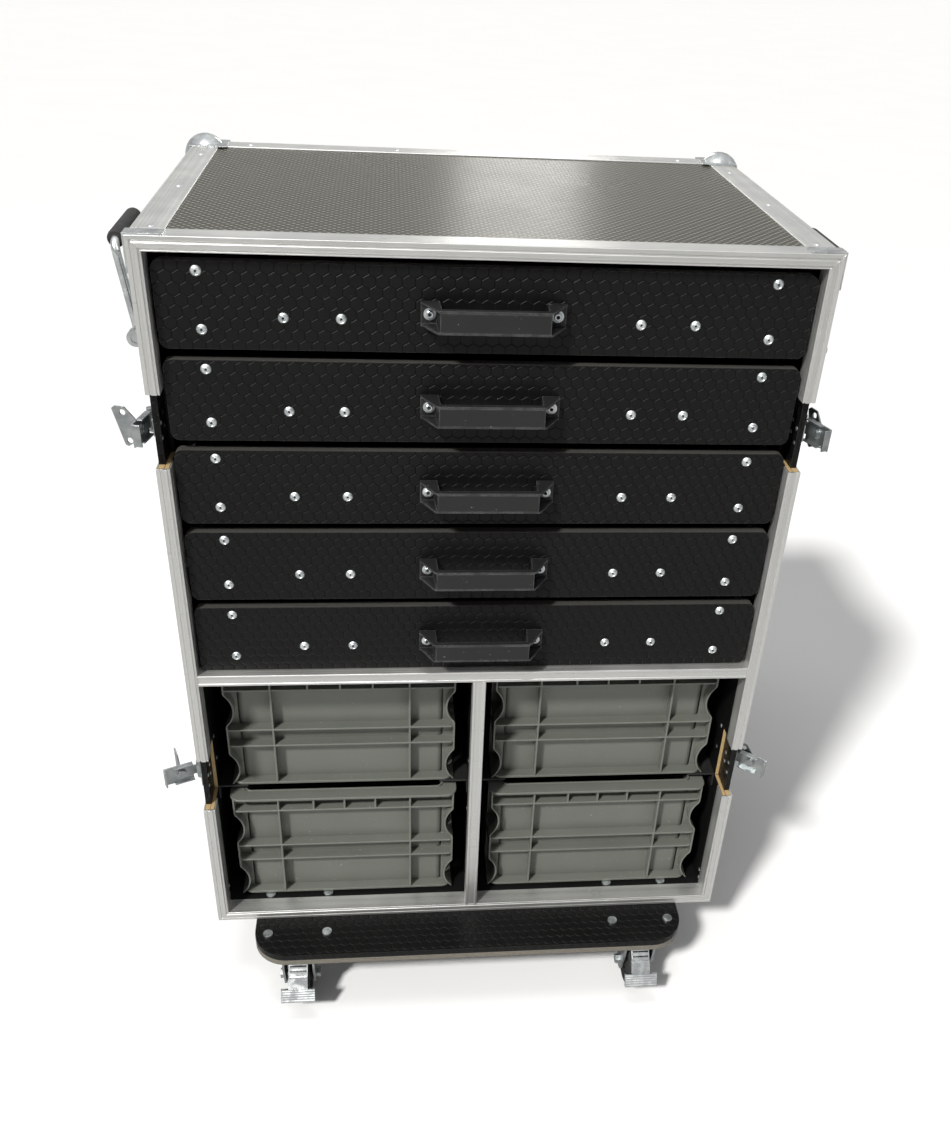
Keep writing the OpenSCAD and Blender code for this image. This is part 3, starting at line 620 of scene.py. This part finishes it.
def make_castor_board():
    """Board under the case: the lower half of its edge is bare ply, the upper half is painted black."""
    low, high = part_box("castor_board")
    bare = (low.z + high.z) / 2
    bm = cad_shape("castor_board")
    bmesh.ops.bisect_plane(bm, geom=bm.verts[:] + bm.edges[:] + bm.faces[:], plane_co=(0, 0, bare),
                           plane_no=(0, 0, 1))
    bmesh.ops.recalc_face_normals(bm, faces=bm.faces)
    for f in bm.faces:
        f.material_index = 1 if abs(f.normal.z) < 0.7 and f.calc_center_median().z < bare else 0
    round_edges(bm, 0.9 * MM)
    piece("castor_board_board", bm, "case", [FINISHES["board"], FINISHES["board_edge"]],
          ["castor_board"])


# ---- Aluminium sections ----
def wave_of_ribs(start, end, pitch, depth):
    """Places and depths of small ribs along a leg, as pairs."""
    count = int(abs(end - start) / pitch)
    step = (end - start) / count
    points = []
    for i in range(count):
        base = start + i * step
        points += [(base + step * 0.1, 0.0), (base + step * 0.2, depth),
                   (base + step * 0.42, depth), (base + step * 0.52, 0.0)]
    return points


def rim_outline():
    """Section of the rim in metres: across the face from its outer edge, and back from the front."""
    face = [(0.0, 2.4), (0.25, 1.5), (0.9, 1.1), (4.3, 1.1), (4.7, 2.0), (6.0, 2.0), (6.4, 0.55),
            (6.9, 0.12), (11.3, 0.12), (11.9, 0.6), (12.2, 1.7), (13.3, 1.7), (13.7, 0.75), (14.6, 0.75),
            (15.0, 1.2)]
    inner = [(15.0 - depth, back) for back, depth in wave_of_ribs(4.0, 24.4, 3.6, 0.14)]
    hollow = [(15.0, 24.9), (13.6, 24.9), (13.6, 3.0), (1.5, 3.0), (1.5, 28.0), (0.0, 28.0)]
    return [(u * MM, v * MM) for u, v in face + inner + hollow]


def section(bm, outline, place, near, far, slot=0):
    """Length of an extruded section; near and far say where each end is cut at a point of the outline."""
    rings = [[bm.verts.new(place(u, v, cut(u, v))) for u, v in outline] for cut in (near, far)]
    return close_tube(bm, rings, slot)


def make_rim():
    outline = rim_outline()
    bm = bmesh.new()
    gap = 0.1 * MM
    for z, inward in ((TOP, -1), (BOTTOM, 1)):
        section(bm, outline, lambda u, v, t, z=z, inward=inward: (t, FRONT + v, z + inward * u),
                lambda u, v: -HALF_WIDTH + u + gap, lambda u, v: HALF_WIDTH - u - gap)
    low, high = LATCH_HEIGHTS["lower"], LATCH_HEIGHTS["upper"]
    lengths = [(lambda u, v: BOTTOM + u, lambda u, v: low - NOTCH_HALF),
               (lambda u, v: low + NOTCH_HALF, lambda u, v: high - NOTCH_HALF),
               (lambda u, v: high + NOTCH_HALF, lambda u, v: TOP - u)]
    for sign in SIDES.values():
        for near, far in lengths:
            section(bm, outline, lambda u, v, t, sign=sign: (sign * (HALF_WIDTH - u), FRONT + v, t),
                    near, far, 1)
    round_edges(bm, 0.12 * MM, 40, 1)
    piece("rim_sections", bm, "case", [FINISHES["aluminium_x"], FINISHES["aluminium_z"]],
          ["front_rim"])


def trim_outline(width, board, leg):
    """Section of a divider's trim: two raised ribs on its face, and two ribbed legs over the board."""
    half, inner = width / 2, board / 2
    face = [(-half, 1.3), (-half + 0.4, 0.35), (-half + 0.9, 0.1), (-half + 3.2, 0.1), (-half + 3.7, 1.1),
            (half - 3.7, 1.1), (half - 3.2, 0.1), (half - 0.9, 0.1), (half - 0.4, 0.35), (half, 1.3)]
    right = [(half - depth, back) for back, depth in wave_of_ribs(3.0, leg - 1, 3.4, 0.14)]
    hollow = [(half, leg), (inner + 0.02, leg), (inner + 0.02, 2.0), (-inner - 0.02, 2.0),
              (-inner - 0.02, leg), (-half, leg)]
    left = [(-half + depth, back) for back, depth in reversed(wave_of_ribs(3.0, leg - 1, 3.4, 0.14))]
    return [(u * MM, v * MM) for u, v in face + right + hollow + left]


def make_divider_trim():
    shelf_low, shelf_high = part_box("shelf_board")
    middle = (shelf_low.z + shelf_high.z) / 2
    reach = INSIDE_X - METAL - 0.2 * MM
    bm = bmesh.new()
    section(bm, trim_outline(15, 12, 20), lambda u, v, t: (t, FRONT + v, middle + u),
            lambda u, v: -reach, lambda u, v: reach)
    section(bm, trim_outline(16, 12, 20), lambda u, v, t: (u, FRONT + v, t),
            lambda u, v: BOTTOM + RIM_FACE + 0.2 * MM, lambda u, v: middle - 7.7 * MM, 1)
    round_edges(bm, 0.12 * MM, 40, 1)
    piece("divider_sections", bm, "case", [FINISHES["aluminium_x"], FINISHES["aluminium_z"]],
          ["divider_trim"])


def angle_outline():
    """Angle section from its outer corner: shallow grooves near the corner, and rounded lips."""
    leg, thick, groove = 34.0, 1.5, 0.2
    one_leg = [(2.6, 0.0)]
    for start in (5.0, 8.5, 12.0):
        one_leg += [(start, 0.0), (start + 0.5, groove), (start + 1.3, groove), (start + 1.8, 0.0)]
    one_leg += [(leg - 0.8, 0.0), (leg, 0.6)]
    corner = [(2.6 - 2.6 * math.sin(a), 2.6 - 2.6 * math.cos(a))
              for a in (math.radians(d) for d in (15, 30, 45, 60, 75))]
    outline = [(v, u) for u, v in reversed(one_leg)] + [(v, u) for u, v in corner] + one_leg
    outline += [(leg, thick), (thick, thick), (thick, leg)]
    return [(u * MM, v * MM) for u, v in outline]


def make_edge_angles():
    outline = angle_outline()
    bm = bmesh.new()
    nick = 0.2 * MM
    front_end, rear_end = FRONT + RIM_LEG + nick, REAR - EDGE_WIDTH - nick
    for sign in SIDES.values():
        for z, inward in ((TOP, -1), (BOTTOM, 1)):
            section(bm, outline,
                    lambda u, v, t, s=sign, z=z, w=inward: (s * (HALF_WIDTH - u), t, z + w * v),
                    lambda u, v: front_end, lambda u, v: rear_end, 0)
        section(bm, outline, lambda u, v, t, s=sign: (s * (HALF_WIDTH - u), REAR - v, t),
                lambda u, v: BOTTOM + EDGE_WIDTH + nick, lambda u, v: TOP - EDGE_WIDTH - nick, 1)
    for z, inward in ((TOP, -1), (BOTTOM, 1)):
        section(bm, outline, lambda u, v, t, z=z, w=inward: (t, REAR - u, z + w * v),
                lambda u, v: -HALF_WIDTH + EDGE_WIDTH + nick, lambda u, v: HALF_WIDTH - EDGE_WIDTH - nick, 2)
    round_edges(bm, 0.12 * MM, 40, 1)
    piece("edge_sections", bm, "case",
          [FINISHES["aluminium_y"], FINISHES["aluminium_z"], FINISHES["aluminium_x"]], ["edge_angles"])


# ---- Fasteners ----
RIVET = [(0, 1.15), (1.2, 1.05), (2.2, 0.75), (2.9, 0.3), (3.1, 0.0), (3.1, -0.6)]
SCREW = [(0, 0.35), (1.25, 0.35), (1.35, 1.9), (2.5, 2.1), (2.8, 1.75), (3.3, 1.75), (3.6, 2.0),
         (4.5, 1.6), (5.4, 0.7), (5.6, 0.0), (5.6, -0.5)]
CAP_SCREW = [(0, 1.2), (1.9, 1.2), (2.0, 3.6), (3.4, 3.7), (4.0, 3.2), (4.2, 0.6), (6.2, 0.5), (6.4, 0.0),
             (6.4, -0.3)]


def head(bm, profile, place, axis, scale=1.0, steps=20):
    lathe(bm, [(r * MM * scale, a * MM * scale) for r, a in profile], place, axis, steps)


def socket(bm, place, axis, radius, floor):
    """Dark disk at the bottom of a screw's driving socket: painted shade in the recess."""
    lathe(bm, [(0, (floor + 0.25) * MM), ((radius - 0.1) * MM, (floor + 0.25) * MM),
               ((radius - 0.1) * MM, (floor - 0.3) * MM)], place, axis, 12, 1)


def make_case_rivets():
    bm = bmesh.new()
    inset = 19.4 * MM
    for sign in SIDES.values():
        for y in (FRONT + 36 * MM, FRONT + 209 * MM, FRONT + 384 * MM):
            head(bm, RIVET, (sign * (HALF_WIDTH - inset), y, TOP), (0, 0, 1))
            for z in (TOP - inset, BOTTOM + inset):
                head(bm, RIVET, (sign * HALF_WIDTH, y, z), (sign, 0, 0))
        for i in range(5):
            z = BOTTOM + (100 + 181 * i) * MM
            head(bm, RIVET, (sign * HALF_WIDTH, REAR - inset, z), (sign, 0, 0))
            head(bm, RIVET, (sign * (HALF_WIDTH - inset), REAR, z), (0, 1, 0))
    for i in range(4):
        x = (-278 + 185.3 * i) * MM
        head(bm, RIVET, (x, REAR - inset, TOP), (0, 0, 1))
        for z in (TOP - inset, BOTTOM + inset):
            head(bm, RIVET, (x, REAR, z), (0, 1, 0))
    piece("case_rivets", bm, "case", [FINISHES["nickel"]])


def make_lining_rivets():
    """Rivets of the latches and runners that come through the boards at the front of the case."""
    bm = bmesh.new()
    board_x, lining_x = HALF_WIDTH - 8.5 * MM, INSIDE_X
    for sign in SIDES.values():
        for height in LATCH_HEIGHTS.values():
            for back, up in ((33.5, -5), (18.5, 4.5), (18, -12), (34, 9)):
                place = (sign * board_x, FRONT + back * MM, height + up * MM)
                head(bm, RIVET, place, (-sign, 0, 0), 0.85, 12)
        for back, up in ((60, 245), (66, 188), (57, 283), (30, 22), (34, 34), (64, 424)):
            head(bm, RIVET, (sign * lining_x, FRONT + back * MM, BOTTOM + up * MM), (-sign, 0, 0), 0.95, 12)
        for up in (150, 236):
            head(bm, RIVET, (sign * 6 * MM, FRONT + 52 * MM, BOTTOM + up * MM), (sign, 0, 0), 0.8, 12)
    piece("lining_rivets", bm, "case", [FINISHES["nickel"]])


# ---- Corners ----
def make_corners():
    bm = cad_shape("corner_hardware")
    round_edges(bm, 0.35 * MM)
    for sign in SIDES.values():
        head(bm, RIVET, (sign * (HALF_WIDTH - 29 * MM), FRONT + 13 * MM, TOP + 0.6 * MM), (0, 0, 1), 0.75)
        head(bm, RIVET, (sign * (HALF_WIDTH + 0.6 * MM), FRONT + 13 * MM, TOP - 29 * MM), (sign, 0, 0), 0.75)
        for z, up in ((TOP, 1), (BOTTOM, -1)):
            far, mid = 37 * MM, 37 * MM
            for x, y in ((far, 8 * MM), (8 * MM, mid)):
                head(bm, RIVET, (sign * (HALF_WIDTH - x), REAR - y, z + up * 0.6 * MM), (0, 0, up), 0.8)
            head(bm, RIVET, (sign * (HALF_WIDTH - far), REAR + 0.6 * MM, z - up * 8 * MM), (0, 1, 0), 0.8)
            head(bm, RIVET, (sign * (HALF_WIDTH - 8 * MM), REAR + 0.6 * MM, z - up * mid), (0, 1, 0), 0.8)
            head(bm, RIVET, (sign * (HALF_WIDTH + 0.6 * MM), REAR - far, z - up * 8 * MM), (sign, 0, 0), 0.8)
            head(bm, RIVET, (sign * (HALF_WIDTH + 0.6 * MM), REAR - 8 * MM, z - up * mid), (sign, 0, 0), 0.8)
    piece("corner_caps", bm, "case", [FINISHES["chrome"]], ["corner_hardware"])


# ---- Plain hardware: the CAD's shape with broken edges ----
def hardware(node, body, face, width=0.4 * MM):
    bm = cad_shape(node)
    round_edges(bm, width)
    return piece(f"{node}_shape", bm, body, [FINISHES[face]], [node])


def make_latches():
    hardware("latch_bases", "case", "zinc", 0.3 * MM)
    for side in SIDES:
        for level in LATCH_HEIGHTS:
            for part in ("arm", "wing"):
                node = f"{side}_{level}_latch_{part}"
                hardware(node, node, "zinc", 0.35 * MM)


# ---- Side handles ----
GRIP_OUT, GRIP_UP = 375.5 * MM, 92 * MM
BAIL_HALF, BAIL_FOOT, BAIL_RADIUS = 58 * MM, 17.5 * MM, 4.4 * MM


def bend(corner, before, after, radius, steps=6):
    """Points of a round bend at a corner, from one leg's direction to the other's."""
    start, end = corner + before * radius, corner + after * radius
    points = []
    for i in range(steps + 1):
        t = i / steps
        points.append(start * (1 - t) ** 2 + corner * 2 * t * (1 - t) + end * t ** 2)
    return points


def make_side_handles():
    """Sprung bail bent from rod, with a ribbed rubber grip, on each side."""
    hardware("handle_plates", "case", "chrome")
    for side, sign in SIDES.items():
        node = f"{side}_side_handle"
        low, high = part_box(node)
        pivot = place_of(f"{side}_handle_hinge")
        grip = Vector((sign * GRIP_OUT, pivot.y, pivot.z + GRIP_UP))
        full = (max(high.x, -low.x) - sign * grip.x) / MM - 0.1
        corner = 12 * MM
        path = [Vector((pivot.x, pivot.y - BAIL_HALF - BAIL_FOOT, pivot.z))]
        for end in (-1, 1):
            foot = Vector((pivot.x, pivot.y + end * BAIL_HALF, pivot.z))
            top = Vector((grip.x, pivot.y + end * BAIL_HALF, grip.z))
            rise = (top - foot).normalized()
            along = Vector((0, -end, 0))
            bends = [bend(foot, -along, rise, corner / 2), bend(top, -rise, along, corner)]
            for points in (bends if end < 0 else [list(reversed(b)) for b in reversed(bends)]):
                path += points
        path.append(Vector((pivot.x, pivot.y + BAIL_HALF + BAIL_FOOT, pivot.z)))
        bm = bmesh.new()
        tube(bm, path, BAIL_RADIUS, 16)
        piece(f"{side}_handle_bail", bm, node, [FINISHES["chrome"]], [node])
        bm = bmesh.new()
        profile = [(5.0, -48), (full - 1.5, -48), (full - 0.3, -47)]
        for i in range(17):
            start = -44 + i * 5.2
            profile += [(full, start), (full, start + 3.4), (full - 0.7, start + 3.9),
                        (full - 0.7, start + 4.7)]
        profile += [(full, 44.6), (full - 0.3, 47), (full - 1.5, 48), (5.0, 48)]
        lathe(bm, [(r * MM, a * MM) for r, a in profile], grip, (0, 1, 0), 28)
        piece(f"{side}_handle_grip", bm, node, [FINISHES["rubber"]])


# ---- Drawers ----
RAIL_ZONE = 8.2 * MM  # how far in from the front board's ends a tray's face belongs to its steel rail


def make_drawer(number):
    """Front board with its screws, tray with steel rails, and the pull."""
    body = f"drawer_{number}"
    node = f"{body}_front"
    low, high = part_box(node)
    bm = cad_shape(node)
    bmesh.ops.recalc_face_normals(bm, faces=bm.faces)
    for f in bm.faces:
        f.material_index = 0 if abs(f.normal.y) > 0.7 else 1
    round_edges(bm, 0.8 * MM, 50)
    piece(f"{node}_board", bm, body, [FINISHES["board"], FINISHES["front_edge"]], [node])
    bm = bmesh.new()
    for sign in SIDES.values():
        for x, down in ((289, 9.5), (289, 67), (209, 54), (152, 54)):
            place = (sign * x * MM, low.y, high.z - down * MM)
            head(bm, SCREW, place, (0, -1, 0))
            # The black disk in each socket is painted shade in the recess.
            socket(bm, place, (0, -1, 0), 1.25, 0.35)
    piece(f"{body}_screws", bm, body, [FINISHES["nickel"], FINISHES["rubber"]])
    bm = cad_shape(f"{body}_tray")
    bmesh.ops.recalc_face_normals(bm, faces=bm.faces)
    for f in bm.faces:
        at = f.calc_center_median()
        rail = abs(at.x) > high.x - RAIL_ZONE
        rim = f.normal.z > 0.7 and at.z > low.z + 60 * MM
        f.material_index = 2 if rail else (1 if rim else 0)
    round_edges(bm, 0.5 * MM, 50)
    piece(f"{body}_tray_box", bm, body,
          [FINISHES["film"], FINISHES["front_edge"], FINISHES["zinc"]], [f"{body}_tray"])
    make_pull(number, low.y, (low.z + high.z) / 2 - 2 * MM)


def make_pull(number, face_y, middle):
    """Bridge pull: flat bar, and a wedge foot at each end with a pocket for its bolt."""
    body = f"drawer_{number}"
    bm = bmesh.new()
    half, wall = 12.0, 2.0
    wedge = [(73.5, 0), (73.5, -6.5), (72, -7.5), (58.5, -31), (56, -33)]
    shell = wedge + [(-x, y) for x, y in reversed(wedge)]
    inside = [(-54.5, 0), (-53, -25), (-51.5, -26.5), (51.5, -26.5), (53, -25), (54.5, 0)]
    pocket = [(73.5, 0), (73.5, -4.5), (57.5, -4.5), (55.2, -33), (-55.2, -33), (-57.5, -4.5),
              (-73.5, -4.5), (-73.5, 0)]
    for outline, low, high in ((shell + inside, half - wall, half), (shell + inside, -half, -half + wall),
                               (pocket + inside, -half + wall, half - wall)):
        prism(bm, [(x * MM, face_y + y * MM) for x, y in outline], "z", middle + low * MM, middle + high * MM)
    round_edges(bm, 0.5 * MM, 25)
    piece(f"{body}_pull_bar", bm, body, [FINISHES["pull"]], [f"{body}_pull"])
    bm = bmesh.new()
    for sign in SIDES.values():
        place = (sign * 64.5 * MM, face_y - 4.4 * MM, middle)
        head(bm, CAP_SCREW, place, (0, -1, 0))
        # The black disk in each socket is painted shade in the recess.
        socket(bm, place, (0, -1, 0), 2.0, 1.2)
    piece(f"{body}_pull_bolts", bm, body, [FINISHES["nickel"], FINISHES["rubber"]])


# ---- Containers ----
TUB_INSET, LEDGE_INSET, WALL = 18.0, 3.5, 2.5
LEDGES = (64.0, 90.0, 153.0)
BITES = (27.0, 123.0)
BITE_RADIUS, BITE_DEPTH, LIP = 34.0, 10.5, 2.2


def ring_plate(bm, origin, size, outer, inner, z, thick, radius):
    """Flat plate round the tub, between an outer and an inner inset."""
    def outline(inset, r):
        return [(origin.x + x * MM, origin.y + y * MM) for x, y in rounded(
            (-size[0] / 2 + inset, size[0] / 2 - inset), (inset, size[1] - inset), r)]
    rings = []
    for inset, r, up in ((outer, radius, 0), (outer, radius, thick), (inner, 6, thick), (inner, 6, 0)):
        rings.append([bm.verts.new((x, y, origin.z + (z + up) * MM)) for x, y in outline(inset, r)])
    close_tube(bm, rings + [rings[0]], ends=False)


def bitten(z):
    """How far the round grips cut into a corner at a height."""
    for middle in BITES:
        away = abs(z - middle)
        if away < BITE_RADIUS:
            return max(0.0, math.sqrt(BITE_RADIUS ** 2 - away ** 2) - BITE_RADIUS + BITE_DEPTH)
    return 0.0


def corner_grip(bm, origin, size, sx, sy):
    """End wall's reach to the round grips, and the lip that follows their edge out to the rim."""
    edge = size[0] / 2 - LEDGE_INSET
    plate = (TUB_INSET, TUB_INSET + WALL)
    lip = (LEDGE_INSET + 0.2, TUB_INSET + 0.5)
    steps = 60
    for root, depth in ((size[0] / 2 - TUB_INSET - 1, plate), (None, lip)):
        rings = []
        for i in range(steps + 1):
            z = 1.5 + (size[2] - 4) * i / steps
            tip = edge - bitten(z)
            start = tip - LIP if root is None else root
            corners = ((start, depth[0]), (tip, depth[0]), (tip, depth[1]), (start, depth[1]))
            rings.append([bm.verts.new((origin.x + sx * x * MM,
                                        origin.y + (y if sy < 0 else size[1] - y) * MM,
                                        origin.z + z * MM)) for x, y in corners])
        close_tube(bm, rings)


def container_mesh(origin, size):
    """Stacking container of moulded plastic, from its middle at the front, in millimetres."""
    bm = bmesh.new()
    half = size[0] / 2
    outer = rounded((-half + TUB_INSET, half - TUB_INSET), (TUB_INSET, size[1] - TUB_INSET), 9)
    inner = rounded((-half + TUB_INSET + WALL, half - TUB_INSET - WALL),
                    (TUB_INSET + WALL, size[1] - TUB_INSET - WALL), 7)
    rings = []
    for outline, z in ((outer, 0), (outer, size[2]), (inner, size[2]), (inner, 3)):
        rings.append([bm.verts.new((origin.x + x * MM, origin.y + y * MM, origin.z + z * MM))
                      for x, y in outline])
    close_tube(bm, rings)
    ring_plate(bm, origin, size, 0, TUB_INSET, size[2] - 3.5, 3.5, 14)
    ring_plate(bm, origin, size, 4, TUB_INSET, 0, 3.5, 14)
    for z in LEDGES:
        ring_plate(bm, origin, size, LEDGE_INSET, TUB_INSET, z, WALL, 6)
    near, far = LEDGE_INSET + 0.3, TUB_INSET + 0.5
    for x, low in ((-87.5, 1), (87.5, 1), (-41, LEDGES[2]), (0, LEDGES[2]), (41, LEDGES[2])):
        for y in ((near, far), (size[1] - far, size[1] - near)):
            block(bm, (origin.x + (x - WALL / 2) * MM, origin.x + (x + WALL / 2) * MM),
                  (origin.y + y[0] * MM, origin.y + y[1] * MM),
                  (origin.z + low * MM, origin.z + (size[2] - 1) * MM))
    for i in range(5):
        y = size[1] / 2 + (i - 2) * 72
        low = 1 if i in (0, 4) else LEDGES[2]
        for sx in (-1, 1):
            x = sorted((sx * (half - near), sx * (half - far)))
            block(bm, (origin.x + x[0] * MM, origin.x + x[1] * MM),
                  (origin.y + (y - WALL / 2) * MM, origin.y + (y + WALL / 2) * MM),
                  (origin.z + low * MM, origin.z + (size[2] - 1) * MM))
    for sx in (-1, 1):
        for sy in (-1, 1):
            corner_grip(bm, origin, size, sx, sy)
    return bm


def make_containers():
    for side in SIDES:
        for level in ("upper", "lower"):
            node = f"{side}_{level}_container"
            low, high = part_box(node)
            size = [(high[i] - low[i]) / MM for i in range(3)]
            bm = container_mesh(Vector(((low.x + high.x) / 2, low.y, low.z)), size)
            round_edges(bm, 0.35 * MM, 50, 1)
            piece(f"{node}_tub", bm, node, [FINISHES["tub"]], [node])


# ---- Castors ----
def make_wheel(name, node):
    low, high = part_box(node)
    centre, radius = (low + high) / 2, (high.z - low.z) / 2 / MM
    bm = bmesh.new()
    half = [(4.1, 17.4), (9.5, 17.4), (10.5, 16.6), (11.5, 12.5), (13, 11.2), (24, 10.2), (26.5, 12.6),
            (29, 14.6), (31.5, 15), (34.6, 14.4), (36.6, 12.0), (37.2, 8.0), (radius, 3.0)]
    profile = [(r, -a) for r, a in half] + [(r, a) for r, a in reversed(half)]
    lathe(bm, [(r * MM, a * MM) for r, a in profile], centre, (1, 0, 0), 64, closed=True)
    round_edges(bm, 0.3 * MM, 35, 2)
    piece(f"{name}_tyre", bm, node, [FINISHES["rubber"]], [node])


def make_pedal(name, node, swivel, end):
    """Brake pedal: stepped tongue between the fork's legs, and a broad tread with raised ribs."""
    bm = cad_shape(node)
    round_edges(bm, 0.5 * MM, 30)
    toward = ENDS[end]

    def local(y, z):
        return swivel.y - toward * y * MM, z * MM

    for i in range(5):
        share = 0.12 + 0.19 * i
        y, z = -77.4 - 7.4 * share, 58.2 - 17.0 * share
        corners = [local(y + dy, z + dz) for dy, dz in ((0.6, 1.3), (-0.8, 0.5), (-1.1, -0.9), (0.3, -1.6))]
        prism(bm, corners, "x", swivel.x - 22.4 * MM, swivel.x + 22.4 * MM)
    for i in range(3):
        share = 0.1 + 0.22 * i
        y, z = -53.5 - 22 * share, 81.8 - 22 * share
        corners = [local(y + dy, z + dz) for dy, dz in ((0.6, 1.9), (-1.4, 1.0), (-2.0, -1.0), (1.0, -1.6))]
        prism(bm, corners, "x", swivel.x - 11.5 * MM, swivel.x + 11.5 * MM)
    piece(f"{name}_pedal", bm, node, [FINISHES["chrome"]], [node])


def make_castors():
    hardware("castor_plates", "case", "zinc")
    hardware("board_bolts", "case", "nickel")
    for end in ENDS:
        for side in SIDES:
            name = f"{end}_{side}"
            fork = f"{name}_castor_fork"
            hardware(fork, fork, "zinc")
            make_wheel(name, f"{name}_wheel")
            make_pedal(name, f"{name}_brake_pedal", place_of(f"{name}_castor_swivel"), end)


# ---- Stage, light and camera ----
def make_floor():
    bm = bmesh.new()
    bmesh.ops.create_grid(bm, x_segments=1, y_segments=1, size=40)
    mesh = bpy.data.meshes.new("floor")
    bm.to_mesh(mesh)
    bm.free()
    floor = bpy.data.objects.new("floor", mesh)
    bpy.context.scene.collection.objects.link(floor)
    material, g, shader = finish("pale_floor")
    coordinates = g.add("ShaderNodeTexCoord")
    patches = g.noise(coordinates.outputs["Object"], 2.0, 3.0, 0.5)
    pale = g.mix(patches, grey(0.90), grey(0.94))
    # Shiny surfaces see the floor mid grey: painted darker reflection of the floor.
    seen_in_gloss = g.add("ShaderNodeLightPath").outputs["Is Glossy Ray"]
    g.link(g.mix(seen_in_gloss, pale, grey(0.42)), shader.inputs["Base Color"])
    shader.inputs["Roughness"].default_value = 0.7
    mesh.materials.append(material)


def soft_light(name, place, target, size, power, colour=(1, 1, 1)):
    light = bpy.data.lights.new(name, "AREA")
    light.shape = "RECTANGLE"
    light.size, light.size_y = size
    light.energy = power
    light.color = colour
    lamp = bpy.data.objects.new(name, light)
    lamp.location = place
    lamp.rotation_euler = (Vector(target) - Vector(place)).to_track_quat("-Z", "Y").to_euler()
    bpy.context.scene.collection.objects.link(lamp)


def make_world():
    """Even pale light all round; shiny surfaces see a studio that is darker at the front."""
    world = bpy.data.worlds.new("studio")
    world.use_nodes = True
    g = Graph(world.node_tree)
    toward = g.add("ShaderNodeSeparateXYZ")
    g.link(g.add("ShaderNodeTexCoord").outputs["Generated"], toward.inputs[0])
    front_to_rear = g.ramp(toward.outputs["Y"], -0.6, 0.6)
    room = g.mix(front_to_rear, grey(0.18), grey(0.48))
    room = g.mix(g.ramp(toward.outputs["Z"], 0.35, 0.8), room, grey(0.75))
    seen_in_gloss = g.add("ShaderNodeLightPath").outputs["Is Glossy Ray"]
    backdrop = world.node_tree.nodes["Background"].inputs
    g.link(g.mix(seen_in_gloss, grey(0.30), room), backdrop["Color"])
    bpy.context.scene.world = world


def make_light():
    make_world()
    sun = bpy.data.lights.new("key", "SUN")
    sun.energy, sun.angle, sun.color = 3.6, math.radians(6), (1.0, 0.99, 0.965)
    lamp = bpy.data.objects.new("key", sun)
    lamp.rotation_euler = Vector((0.45, 0.55, -0.72)).to_track_quat("-Z", "Y").to_euler()
    bpy.context.scene.collection.objects.link(lamp)
    soft_light("rear_strip", (0.27, 2.0, 1.62), (0.05, 0, 1.04), (0.36, 0.75), 2.6, (1, 0.99, 0.93))
    soft_light("overhead", (-0.4, -0.5, 3.4), (0, 0, 1), (1.4, 0.5), 24)
    bpy.context.scene.view_settings.view_transform = "Standard"


def make_camera():
    camera = bpy.data.cameras.new("camera")
    camera.sensor_width = 36
    camera.lens = 34.94
    camera.shift_x, camera.shift_y = -0.0360, 0.0519
    camera.clip_start, camera.clip_end = 0.05, 100
    holder = bpy.data.objects.new("camera", camera)
    holder.location = (-0.1017, -1.3228, 1.3219)
    holder.rotation_euler = tuple(math.radians(a) for a in (56.56, -2.949, -5.539))
    bpy.context.scene.collection.objects.link(holder)
    bpy.context.scene.camera = holder


make_camera()
make_boards()
make_rim()
make_divider_trim()
make_edge_angles()
make_case_rivets()
make_lining_rivets()
make_corners()
make_latches()
make_side_handles()
for drawer in DRAWERS:
    make_drawer(drawer)
hardware("drawer_runners", "case", "zinc")
make_containers()
hardware("container_runners", "case", "powder")
make_castors()
make_floor()
make_light()
